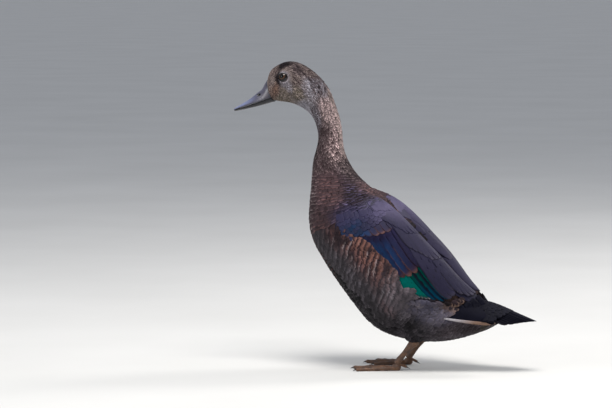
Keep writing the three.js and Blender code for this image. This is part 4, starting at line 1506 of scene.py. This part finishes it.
def coat_band(name, materials, coat, tones):
    """One piece of the coat between two stations."""
    band, build, number, marking, keep = COAT_PIECES[name]
    lay = BANDS[band]
    chance = chance_of(coat, number)
    at, angle, step = paving(
        lay["ends"], lambda place: float(np.interp(place, *PITCH)) * coat.fineness, chance, lay["narrow"],
        lay["uneven"] * coat.ruffle)
    kept = keep(at, angle) & ~on_wing(at, angle) & ~on_flank(at, angle) & ~on_tail_sides(at, angle)
    at, angle, step = at[kept], angle[kept], step[kept]
    heading = chance.normal(0, 0.08, len(at)) * coat.ruffle
    length = step * lay["long"] * coat.overlap * chance.uniform(0.88, 1.14, len(at))
    tip = tips_from(form, at, angle, heading, length)
    kept = clear_of_eyes((at, angle), tip)
    at, angle, step, *tip = (value[kept] for value in (at, angle, step, *tip))
    count = len(at)
    width = step * lay["narrow"] * lay["wide"] * coat.breadth * chance.uniform(0.9, 1.12, count)
    deep = coat_depth(at)
    high = -deep * TIP_SINK * (1 + coat.ruffle * chance.uniform(-1, 1, count))
    high = high - MANTLE_SINK * soft_step(16.5, 17.0, at) * soft_fall(35, 45, turned(angle))
    nape = soft_step(3, 4.5, at) * soft_fall(12, 14, at) * soft_fall(25, 70, turned(angle))
    high = high + nape * chance.uniform(0, NAPE_RUFFLE, count) ** 2 * coat.ruffle
    ground, fringe = plumage(at, angle, tones)
    long, wide, strength = lay["clump"]
    clump = mottle(at, angle, long, wide, chance)[:, None]
    tint = np.clip(chance.normal(1, 0.15, (count, 1)) + strength * clump, 0.3, 1.8)
    paleness = np.clip(0.95 + 0.6 * clump + chance.normal(0, 0.25, (count, 1)), 0.1, 1.5)
    fringe = ground + (fringe - ground) * paleness
    paint = marking(ground * tint, fringe * tint, chance)
    tract = Tract(build, form, chance)
    camber = np.clip(width * 0.05, 0.1, 0.4)
    tract.lay((at, angle), tip, width, -deep * ROOT_SINK, high, camber, paint)
    return finish_piece(tract.build(name, materials[lay["look"]], PATCH), "feather_brown")


# Feathers of one size: width, height of root and tip, camber.
EYE_FEATHER = (1.5, -0.7, 0.1, 0.16)
LESSER_COVERT = (9.5, -0.7, -0.1, 0.15)
UNDER_FEATHER = (7.5, -1.5, 0.0, 0.5)
ROOF_COVERT = (10.0, -1.6, 0.3, 0.35)
EYE_RINGS = ((6.6, 40, 2.2), (7.7, 42, 2.6), (8.8, 44, 3.0), (9.9, 46, 3.2))  # radius, count, length


def eye_rings(material, coat, tones):
    """Rings of the smallest feathers round each eye, pointing out and back from its lids: a pale ring,
    a dark spot in front of the eye, and outside them the colours of the face."""
    chance = chance_of(coat, 50)
    tract = Tract(TINY)
    along, around = spread(form, np.array([EYE_AT]), np.array([EYE_ANGLE]))
    for _, side in SIDES:
        for rank, (radius, count, length) in enumerate(EYE_RINGS):
            turn = (np.arange(count) + chance.uniform(-0.25, 0.25, count)) * 2 * np.pi / count
            at = EYE_AT + radius * np.cos(turn) / along
            angle = side * (EYE_ANGLE + radius * np.sin(turn) / around)
            heading = side * np.arctan2(np.sin(turn) * 0.7, np.cos(turn) * 0.7 + 0.75)
            tip = tips_from(form, at, angle, heading, length * chance.uniform(0.9, 1.15, count))
            ground, fringe = plumage(at, angle, tones)
            pale = np.clip(1.1 - 0.45 * rank, 0, 1) * (0.6 + 0.35 * np.sin(turn) ** 2)
            fringe = blend(fringe, tones["ash"] * 1.25, pale * chance.uniform(0.5, 1, count))
            ahead = soft_step(0.72, 0.97, np.cos(turn + np.pi - 0.25)) * (1 - 0.2 * rank)
            shade = (1 - 0.85 * ahead)[:, None] * chance.normal(1, 0.14, (count, 1))
            paint = streaked(ground * shade, fringe * shade, chance)
            tract.lay((at, angle), tip, *EYE_FEATHER, paint)
    return finish_piece(tract.build("coat_eye_rings", material, PATCH), "feather_brown")


FREE_END, MOST_PULL = 0.15, 11  # stations past the flank where tips are free, and degrees of pull


def pulled_down(root, tip, side):
    """Feathers whose tips would pass the flank's line, moved down to end on it, and whether they had
    to move little enough to stay."""
    over = np.maximum(-flank_share(*tip), 0) * math.radians(FLANK[2]) * side
    over = np.where(tip[0] > FLANK[1] + FREE_END, 0, over)
    return (root[0], root[1] + over), (tip[0], tip[1] + over), np.abs(over) < math.radians(MOST_PULL)


def flank_colours(at, near, rear, tones):
    """Ground, fringe and pale bar of the flank's feathers: rusty by the wing, dull below and behind, and
    plain at the front. near is each tip's distance below the flank's line, as a share of its reach."""
    count = len(at)
    low = soft_step(0.25, 0.7, near)
    behind = rear * (1 - low)
    rusty = soft_fall(0.08, 0.45, near) * (1 - 0.9 * soft_step(18.6, 19.7, at))
    ground = blend(rows_of(tones["umber"] * 1.4, count), tones["mouse"] * 0.3, low)
    ground = blend(ground, tones["mouse"] * 0.5, behind)
    fringe = blend(rows_of(tones["rose"] * 0.8, count), tones["rust"], rusty)
    dull = tones["mouse"] * (0.7 + 0.9 * behind)[:, None]
    fringe = blend(fringe, dull, np.maximum(low, 0.8 * behind))
    bar = blend(rows_of(tones["buff"] * 0.9, count), tones["mouse"] * 1.3, low)
    bar = blend(bar, tones["ash"] * 0.8, behind)
    front = 0.6 * soft_fall(16.2, 17.2, at)
    fringe, bar = blend(fringe, ground, front), blend(bar, ground, front)
    return ground, fringe, blend(bar, tones["rust"], soft_fall(0.0, 0.06, near)), low


def flank_feathers(name, side, material, coat, tones):
    """The flank's feathers, which turn up over the wing's lower edge the nearer they lie to it."""
    chance = chance_of(coat, 60 + side)
    at, angle = paving(FLANK[:2], lambda place: FLANK_STEP, chance, FLANK_NARROW, 0.2)[:2]
    kept = on_flank(at, angle) & (angle * side > 0)
    at, angle = at[kept], angle[kept]
    turn = FLANK_TURN * soft_fall(0.3, 1.0, flank_share(at, angle)) * soft_step(16.0, 17.2, at)
    heading = -side * turn + chance.normal(0, 0.12, len(at))
    length = FLANK_LENGTH * chance.uniform(0.85, 1.15, len(at))
    root, tip, kept = pulled_down((at, angle), tips_from(form, at, angle, heading, length), side)
    root, tip = (tuple(value[kept] for value in place) for place in (root, tip))
    near, rear = flank_share(*tip), soft_step(18.5, 19.4, root[0])
    ground, fringe, bar, low = flank_colours(root[0], near, rear, tones)
    count = len(near)
    tint = np.clip(chance.normal(1, 0.12, (count, 1)), 0.4, 1.8) * (1 - 0.3 * rear * low)[:, None]
    width = FLANK_WIDTH * chance.uniform(0.9, 1.1, count)
    spots = [np.stack([arc(place[0]), np.abs(wrapped(place[1])) * FLANK_GIRTH], -1) for place in (root, tip)]
    streaks = chance_of(coat, 65 + side)
    paint = flank_streaks((*spots, width), ground * tint, fringe * tint, bar * tint, streaks)
    tract = Tract(FINE, form, chance)
    tract.lay(root, tip, width, -1.3, -0.3 * soft_step(0.2, 0.7, near), 0.12, paint)
    return finish_piece(tract.build(name, material, PATCH), "feather_brown")


# ---- Wings and tail ----

# Rows of the folded wing from the lowest layer up. Roots and tips are station and degrees from the
# back, at a few feathers of the row, the others between them. Then: width, height of root and tip.
WING_LAYERS = {
    "primaries": (6, ((19.9, 40), (20.2, 20)), ((21.95, 29), (22.75, 12)), 10, -2.6, -1.8),
    "secondaries": (8, ((18.4, 76), (19.0, 58)), ((20.1, 78), (20.4, 71), (20.68, 64)), 8.5, -2.4, -1.3),
    "inner_secondaries": (
        3, ((18.8, 55), (18.9, 44)), ((20.85, 60), (21.12, 55), (21.18, 49)), 10, -1.9, -1.0),
    "greater_coverts": (
        8, ((17.0, 88), (17.3, 66), (17.6, 40)),
        ((18.0, 84), (18.8, 75), (19.35, 70), (19.62, 65), (19.74, 56), (19.7, 46)), 15, -1.35, -1.0),
    "median_coverts": (
        9, ((16.5, 92), (16.6, 72), (16.8, 34)),
        ((17.35, 92), (17.75, 74), (18.1, 58), (18.2, 43)), 15, -1.1, -0.8),
    "low_tertials": (3, ((18.8, 38), (18.5, 26)), ((21.2, 46), (21.22, 40), (21.1, 34)), 16, -1.1, -0.65),
    "high_tertials": (4, ((18.5, 27), (18.3, 15)), ((21.5, 29), (21.9, 21), (21.9, 13)), 15, -0.9, -0.45),
    "rear_scapulars": (9, ((17.6, 37), (17.2, 15)), ((19.1, 39), (19.8, 30), (20.1, 14)), 14, -0.75, -0.4),
    "middle_scapulars": (
        10, ((16.5, 44), (16.3, 17)), ((17.9, 42), (18.7, 32), (18.9, 14)), 12, -0.6, -0.25),
    "front_scapulars": (10, ((16.2, 43), (16.1, 19)), ((17.1, 43), (17.5, 32), (17.6, 16)), 11, -0.55, -0.2),
}
GLOSSY_ROWS = ("secondaries", "inner_secondaries", "greater_coverts")
WING_CAMBER, WING_TILT = 0.018, 0.012  # shares of a feather's width
# Small coverts of the shoulder: first and last station, step, length and angle of their heading.
LESSER_ENDS, LESSER_STEP, LESSER_LENGTH, LESSER_TURN = (15.25, 17.25), 5.6, 14.0, 0.12
LESSER_TOP = 14  # degrees from the back to the uppermost
LESSER_UNTIL = ((15, 30, 45), (16.4, 16.6, 17.35))  # degrees from the back, and the last station there


def through(places, count):
    """Places of a row's feathers, spread evenly along the line through a few of them."""
    places = np.array(places, float)
    share = np.linspace(0, len(places) - 1, count)
    known = np.arange(len(places))
    return np.interp(share, known, places[:, 0]), np.interp(share, known, places[:, 1])


def wing_marking(row, count, tones, chance):
    """The marking of each row of the wing."""
    def all_of(name, shade=1.0):
        return rows_of(tones[name] * shade, count) * chance.normal(1, 0.06, (count, 1))

    ranks = np.linspace(0, 1, count)
    if row == "primaries":
        return glossed(all_of("ink", 0.9), all_of("plum", 0.8), all_of("plum"), (0.4, 0.9), 0.5, chance)
    if row == "secondaries":
        return speculum(all_of("ink"), all_of("emerald"), all_of("ink", 0.4), all_of("white"))
    if row == "inner_secondaries":
        return shifting(all_of("ink"), all_of("emerald", 0.45), all_of("teal", 0.9))
    rusty = np.full(count, 0.12)
    if row == "greater_coverts":
        rusty[4:7] = 0.4, 1.0, 0.9
        gloss = blend(all_of("teal", 1.1), all_of("navy", 0.9), soft_step(0.2, 0.5, ranks))
        gloss = blend(gloss, all_of("plum", 1.3), soft_step(0.6, 1.0, ranks))
        gloss = gloss * chance.uniform(0.7, 1.15, (count, 1))
        gloss = blend(gloss, all_of("slate"), 0.15)
        edge = blend(all_of("ink"), all_of("rust", 0.85), rusty)
        return glossed(all_of("plum", 0.9), gloss, edge, (0.36, 0.8), 0.8, chance)
    if row == "median_coverts":
        rusty[5:8] = 0.8, 1.0, 0.5
        gloss = blend(all_of("navy"), all_of("plum"), soft_step(0.3, 0.7, ranks))
        edge = blend(all_of("plum"), all_of("rust", 0.85), rusty)
        return glossed(all_of("plum", 0.8), gloss, edge, (0.35, 0.9), 0.7, chance)
    # Painted highlight: the upper feathers of each row, nearer the wing's crest, are blended towards the
    # pale purple.
    paler = {"low_tertials": 0.0, "high_tertials": 0.05}.get(row, 0.1)
    ground = blend(all_of("plum", 0.85 if "tertials" in row else 0.95), all_of("lilac_sheen"), paler * ranks)
    # The front and middle scapulars take the pale purple as a painted sheen along the wing's crest.
    if row == "front_scapulars":
        first, last = (blend(ground, all_of("lilac_sheen"), share) for share in (0.4, 0.55))
        return fading(first, last, (0.45, 0.95))
    if row == "middle_scapulars":
        return fading(blend(ground, all_of("lilac_sheen"), 0.45), ground * 0.95, (0.4, 0.9))
    return glossed(ground, ground * 0.8, blend(ground, all_of("mouse"), 0.45), (0.4, 0.95), 0.4, chance)


def lesser_coverts(side, coat, tones):
    """The small coverts of a wing's shoulder: brown in front, paler purple above, which is partly a painted
    highlight, and blue below.
    """
    chance = chance_of(coat, 70 + side)
    at, angle = paving(LESSER_ENDS, lambda place: LESSER_STEP, chance, 0.95)[:2]
    until = np.interp(turned(angle), *LESSER_UNTIL)
    kept = (angle * side > 0) & on_wing(at, angle) & (turned(angle) > LESSER_TOP) & (at < until)
    at, angle = at[kept], angle[kept]
    count, off = len(at), turned(angle)
    heading = side * LESSER_TURN + chance.normal(0, 0.08, count)
    tip = tips_from(form, at, angle, heading, LESSER_LENGTH)
    # high is the share of painted highlight on the upper coverts, nearer the back.
    high = soft_fall(35, 60, off)
    ground = blend(rows_of(tones["umber"] * 1.4, count), tones["plum"] * 1.1, soft_step(15.4, 15.95, at))
    ground = blend(ground, tones["lilac_sheen"], 0.45 * high)
    sheen = soft_step(58, 74, off) * soft_step(16.1, 16.6, at) * chance.uniform(0.2, 1, count)
    ground = blend(ground, tones["navy"] * 0.35, sheen)
    ground = ground * (1 + 0.2 * mottle(at, angle, 20, 12, chance)[:, None])
    ground = ground * chance.normal(1, 0.06, (count, 1))
    # The upper coverts' fringes also take the pale purple as a painted highlight.
    fringe = blend(ground * 1.25, tones["lilac_sheen"] * chance.uniform(0.7, 1.1, (count, 1)), 0.7 * high)
    tract = Tract(LESSER, form, chance)
    paint = scalloped(ground, fringe, chance, 0.72, 0.5)
    tract.lay((at, angle), tip, *LESSER_COVERT, paint)
    return tract


def wing_feathers(name, side, materials, coat, tones):
    """The folded wing's rows, then the small coverts of its shoulder."""
    smooth, gloss = materials
    flight, glossy = Tract(LONG, stiff_form), Tract(LONG, stiff_form)
    for number, (row, (count, roots, tips, width, low, high)) in enumerate(WING_LAYERS.items()):
        chance = np.random.default_rng(coat.seed * 1000 + number * 10 + side)
        ends = []
        off = chance.normal(0, 0.02, (2, count))
        for places, away in zip((roots, tips), off):
            at, degrees = through(places, count)
            ends.append((at + away, side * np.radians(degrees)))
        paint = wing_marking(row, count, tones, chance)
        tract = glossy if row in GLOSSY_ROWS else flight
        tract.lay(*ends, width, low, high, width * WING_CAMBER, paint, tilt=width * WING_TILT)
    finish_piece(flight.build(f"wing_feathers_{name}", smooth, WING_PATCH), "feather_dark", f"wing_{name}")
    finish_piece(glossy.build(f"wing_gloss_{name}", gloss, WING_PATCH), "feather_dark")
    lesser = lesser_coverts(side, coat, tones)
    finish_piece(lesser.build(f"wing_coverts_{name}", smooth, PATCH), "feather_dark")


TAIL_PAIRS, TAIL_FEATHER_ROOT, TAIL_FEATHER_WIDTH = 9, 116.0, 13.0
TAIL_SPREAD = 0.92  # the outermost pair's place, as a share of the fan's half width
ROOF_ROWS, ROOF_COUNT, ROOF_REACH = (104.0, 152.0, 6.0), 15, 25.0
ROOF_EDGE, ROOF_END, ROOF_END_FALL = 0.86, 168, 26  # share across, then where the coverts' tips end


def tail_feathers(material, soft, coat, tones):
    """A fan of paired feathers, the middle pair longest and on top, with rows of coverts over it."""
    chance = chance_of(coat, 80)
    tract = Tract(LONG, tail_form)
    rank = np.linspace(0, 1, TAIL_PAIRS)
    half = 2.5 + 25.5 * rank ** 0.9
    halves, places = (np.array([row[k] for row in TAIL[:1:-1]]) for k in (2, 0))
    edge_x = np.interp(half / TAIL_SPREAD, halves, places)
    for _, side in SIDES:
        root = (np.full(TAIL_PAIRS, TAIL_FEATHER_ROOT), side * (0.04 + 0.46 * rank))
        tip = (edge_x - 0.8, side * (0.12 + 0.8 * rank ** 0.6))
        ground = rows_of(tones["ink"] * 0.45, TAIL_PAIRS) * chance.normal(1, 0.06, (TAIL_PAIRS, 1))
        edge = blend(ground * 1.6, tones["bark"], soft_step(0.7, 1.0, rank))
        paint = glossed(ground, ground * 1.2, edge, (0.3, 0.9), 0.55, chance)
        high = -0.3 - 3.2 * rank
        tract.lay(root, tip, TAIL_FEATHER_WIDTH - 3 * rank, high - 1.2, high, 0.5, paint, tilt=0.5)
    fan = tract.build("tail_feathers", material, TAIL_PATCH, unwrap_tail)
    finish_piece(fan, "feather_dark", "tail")
    covers = Tract(MIDDLE, tail_form)
    for number, x in enumerate(np.arange(*ROOF_ROWS)):
        count = ROOF_COUNT - number % 2
        across = np.linspace(-0.93, 0.93, count) + chance.normal(0, 0.02, count)
        across = np.clip(across, -ROOF_EDGE, ROOF_EDGE)
        at = np.full(count, x) + chance.normal(0, 0.8, count)
        reach = ROOF_REACH * (1 - 0.25 * np.abs(across))
        tip = (np.minimum(at + reach, ROOF_END - ROOF_END_FALL * across ** 2), across * 0.97)
        ground = rows_of(tones["ink"] * 0.6, count) * chance.normal(1, 0.08, (count, 1))
        paint = scalloped(ground, ground * 1.5, chance)
        covers.lay((at, across), tip, *ROOF_COVERT, paint)
    roof = covers.build("tail_covert_feathers", soft, COVERT_PATCH, unwrap_tail)
    finish_piece(roof, "feather_brown")


UNDER_ROWS, UNDER_COUNT, UNDER_LENGTH = (23.2, 24.6, 0.2), 21, 1.2
BODY_END = 24.9  # the last station where a feather of the body ends


def under_tail(material, coat, tones):
    """Soft feathers that run from the vent under the tail and end against its underside."""
    chance = chance_of(coat, 85)
    tract = Tract(MIDDLE, form, chance)
    count = UNDER_COUNT
    for at in np.arange(*UNDER_ROWS):
        angle = wrapped(np.linspace(0.42 * np.pi, 1.58 * np.pi, count) + chance.normal(0, 0.05, count))
        place = np.full(count, at) + chance.normal(0, 0.05, count)
        length = UNDER_LENGTH * chance.uniform(0.9, 1.1, count)
        tip = (np.minimum(place + length, BODY_END), angle)
        ground = blend(rows_of(tones["soot"], count), tones["olive"], chance.uniform(0.1, 0.35, count))
        fringe = rows_of(tones["mouse"], count) * chance.normal(1.1, 0.15, (count, 1))
        paint = scalloped(ground, fringe, chance)
        tract.lay((place, angle), tip, *UNDER_FEATHER, paint)
    finish_piece(tract.build("coat_under_tail", material, PATCH), "feather_brown")


# Side coverts of the tail, laid over the rump from the lowest up: root and tip, width, and the bow
# that swings the middle away from the back. All but the lowest come twice, one behind the other.
TAIL_SIDES = (
    ((21.5, 81.5), (24.95, 118.5), 4.6, -0.28),
    ((21.5, 75), (24.9, 106), 10.0, -0.24),
    ((21.5, 66), (24.7, 90), 12.0, -0.16),
    ((21.6, 57), (24.3, 72), 13.0, -0.08),
    ((21.7, 48), (24.1, 54), 13.0, 0.0),
    ((21.8, 38), (24.1, 38), 13.0, 0.0),
    ((21.9, 27), (24.2, 25), 13.0, 0.0),
    ((22.0, 15), (24.3, 12), 13.0, 0.0),
)


SECOND_ROW = 0.9  # stations from the first row to the second


def tail_sides(material, coat, tones):
    """Long smooth dark coverts along each side of the tail's root. The lowest shows as a pale line,
    whitish at its start and buff towards its tip."""
    chance = chance_of(coat, 86)
    tract = Tract(LONG)
    for _, side in SIDES:
        for rank, (root, tip, width, bow) in enumerate(TAIL_SIDES):
            for back in (0.0, SECOND_ROW)[:1 + (rank > 0)]:
                last = min(tip[0] + back, BODY_END - 0.1 * rank)
                start, end = (
                    (np.array([at]), np.array([side * math.radians(degrees)]))
                    for at, degrees in ((root[0] + back, root[1]), (last, tip[1])))
                dark = tones["ink"][None] * chance.normal(0.65, 0.06)
                if rank:
                    low, high = 0.1 * rank - 1.2, 0.06 * rank + 0.1
                    paint = glossed(dark, dark * 1.2, dark * 1.5, (0.3, 0.9), 0.35, chance)
                else:
                    low, high = -0.7, 0.6
                    paint = fading(tones["white"][None] * 0.7, tones["tan"][None] * 0.9, (0.1, 0.5))
                tract.lay(start, end, width, low, high, 0.3, paint, bow=bow)
    finish_piece(tract.build("tail_side_coverts", material, PATCH), "feather_dark")


def make_coat(coat, tones):
    materials = {name: feather_material(name) for name in ("face_feathers", "body_feathers")}
    for name in COAT_PIECES:
        coat_band(name, materials, coat, tones)
    eye_rings(materials["face_feathers"], coat, tones)
    under_tail(materials["body_feathers"], coat, tones)
    for name, side in SIDES:
        flank_feathers(f"coat_flank_{name}", side, materials["body_feathers"], coat, tones)


def make_wings(coat, tones):
    smooth, gloss = feather_material("wing_vanes"), feather_material("glossy_vanes")
    for name, side in SIDES:
        wing_feathers(name, side, (smooth, gloss), coat, tones)


def make_tail(coat, tones):
    smooth, soft = feather_material("tail_vanes"), feather_material("covert_vanes")
    tail_feathers(smooth, soft, coat, tones)
    tail_sides(smooth, coat, tones)


# ---- Stage ----

FRAME_WIDTH, FRAME_HEIGHT = 612, 408
BODY_COLUMN, GROUND_ROW = 385.25, 368.0  # where the frame shows the duck's origin
FLOOR_RADIUS = 90.0
FLOOR_POINTS = 96
FLOOR_DARK, FLOOR_LIGHT = (0.6, 0.6, 0.58), (0.64, 0.64, 0.62)
SKY_COLOUR = (0.86, 0.9, 1.0, 1)
SENSOR_WIDTH, FAR_CLIP = 36.0, 400
# Lights: place, what they face, size, colour.
LIGHTS = {
    "key": ((0.3, -0.7, 2.3), (0, 0, 0.2), 1.2, (1.0, 0.97, 0.94)),
    "fill": ((-2.0, -2.0, 1.2), (0, 0, 0.2), 0.8, (0.95, 0.97, 1.0)),
    "rim": ((1.6, 1.6, 1.5), (0, 0, 0.25), 0.8, (1.0, 0.97, 0.95)),
}


def area_light(name, place, target, size, power_watts, colour):
    light = bpy.data.lights.new(name, "AREA")
    light.shape, light.size, light.energy, light.color = "DISK", size, power_watts, colour
    item = bpy.data.objects.new(name, light)
    item.location = place
    item.rotation_euler = (Vector(target) - Vector(place)).to_track_quat("-Z", "Y").to_euler()
    bpy.context.collection.objects.link(item)


def make_stage(stage):
    """A pale floor under even light, a large soft light above and a weaker one beside the camera."""
    angle = full_turn(FLOOR_POINTS)
    rim = np.stack([np.cos(angle), np.sin(angle), 0 * angle], -1) * FLOOR_RADIUS / MM
    index = np.arange(FLOOR_POINTS)
    faces = np.stack([np.full(FLOOR_POINTS, FLOOR_POINTS), index, np.roll(index, -1)], 1)
    look = Look("pale_floor", roughness=0.9)
    look.set("Base Color", look.ramp(look.noise(3.0), (0.3, FLOOR_DARK), (0.7, FLOOR_LIGHT)))
    floor = new_mesh("floor", np.concatenate([rim, [[0, 0, 0]]]), faces, look.material)
    world = bpy.data.worlds.new("studio")
    world.use_nodes = True
    inputs = world.node_tree.nodes["Background"].inputs
    inputs["Color"].default_value, inputs["Strength"].default_value = SKY_COLOUR, stage.sky
    bpy.context.scene.world = world
    bpy.context.scene.view_settings.view_transform = "Standard"
    for name, (place, target, size, colour) in LIGHTS.items():
        area_light(name, place, target, size, getattr(stage, name), colour)
    turn, rise = stage.azimuth, stage.elevation
    right = Vector((math.cos(turn), math.sin(turn), 0))
    back = Vector((math.sin(turn) * math.cos(rise), -math.cos(turn) * math.cos(rise), math.sin(rise)))
    target = right * (FRAME_WIDTH / 2 - BODY_COLUMN) * stage.scale
    target += Vector((0, 0, (GROUND_ROW - FRAME_HEIGHT / 2) * stage.scale))
    camera = bpy.data.objects.new("camera", bpy.data.cameras.new("camera"))
    camera.data.sensor_width, camera.data.clip_end = SENSOR_WIDTH, FAR_CLIP
    camera.data.lens = SENSOR_WIDTH * stage.distance / (FRAME_WIDTH * stage.scale)
    up = back.cross(right)
    facing = Matrix((right, up, back)).transposed().to_4x4()
    camera.matrix_world = Matrix.Translation(target + back * stage.distance) @ facing
    bpy.context.collection.objects.link(camera)
    bpy.context.scene.camera = camera


# ---- Operators, panel and run ----


class DUCK_OT_skin(Operator):
    """Make the skin, the lids and the eyes"""
    bl_idname = "duck.skin"
    bl_label = "Skin and Eyes"

    def execute(self, context):
        tones = palette(context.scene.duck_colours)
        make_skin(tones)
        make_eyes(tones)
        return {"FINISHED"}


class DUCK_OT_bill(Operator):
    """Make the bill"""
    bl_idname = "duck.bill"
    bl_label = "Bill"

    def execute(self, context):
        make_bill(palette(context.scene.duck_colours))
        return {"FINISHED"}


class DUCK_OT_legs(Operator):
    """Make the legs, feet and claws"""
    bl_idname = "duck.legs"
    bl_label = "Legs"

    def execute(self, context):
        make_legs(palette(context.scene.duck_colours))
        return {"FINISHED"}


class DUCK_OT_coat(Operator):
    """Lay the feathers of the head, neck and body"""
    bl_idname = "duck.coat"
    bl_label = "Coat"

    def execute(self, context):
        make_coat(context.scene.duck_coat, palette(context.scene.duck_colours))
        return {"FINISHED"}


class DUCK_OT_wings(Operator):
    """Lay the feathers of both folded wings"""
    bl_idname = "duck.wings"
    bl_label = "Wings"

    def execute(self, context):
        make_wings(context.scene.duck_coat, palette(context.scene.duck_colours))
        return {"FINISHED"}


class DUCK_OT_tail(Operator):
    """Lay the feathers of the tail"""
    bl_idname = "duck.tail"
    bl_label = "Tail"

    def execute(self, context):
        make_tail(context.scene.duck_coat, palette(context.scene.duck_colours))
        return {"FINISHED"}


class DUCK_OT_stage(Operator):
    """Make the floor, the lights and the camera"""
    bl_idname = "duck.stage"
    bl_label = "Stage"

    def execute(self, context):
        make_stage(context.scene.duck_stage)
        return {"FINISHED"}


STEPS = (DUCK_OT_stage, DUCK_OT_skin, DUCK_OT_bill, DUCK_OT_legs, DUCK_OT_coat, DUCK_OT_wings, DUCK_OT_tail)


class DUCK_PT_panel(Panel):
    """The duck's makers and settings"""
    bl_idname = "DUCK_PT_panel"
    bl_label = "Duck"
    bl_space_type = "VIEW_3D"
    bl_region_type = "UI"
    bl_category = "Duck"

    def draw(self, context):
        for step in STEPS:
            self.layout.operator(step.bl_idname)
        for key in GROUPS:
            box = self.layout.box()
            group = getattr(context.scene, key)
            for name in GROUPS[key].__annotations__:
                box.prop(group, name)


GROUPS = {"duck_colours": DuckColours, "duck_coat": DuckCoat, "duck_stage": DuckStage}
CLASSES = (*GROUPS.values(), *STEPS, DUCK_PT_panel)


def register():
    for item in CLASSES:
        bpy.utils.register_class(item)
    for key, group in GROUPS.items():
        setattr(bpy.types.Scene, key, PointerProperty(type=group))


def unregister():
    for key in GROUPS:
        delattr(bpy.types.Scene, key)
    for item in reversed(CLASSES):
        bpy.utils.unregister_class(item)


def main():
    register()
    for step in STEPS:
        group, name = step.bl_idname.split(".")
        getattr(getattr(bpy.ops, group), name)()


if __name__ == "__main__":
    main()
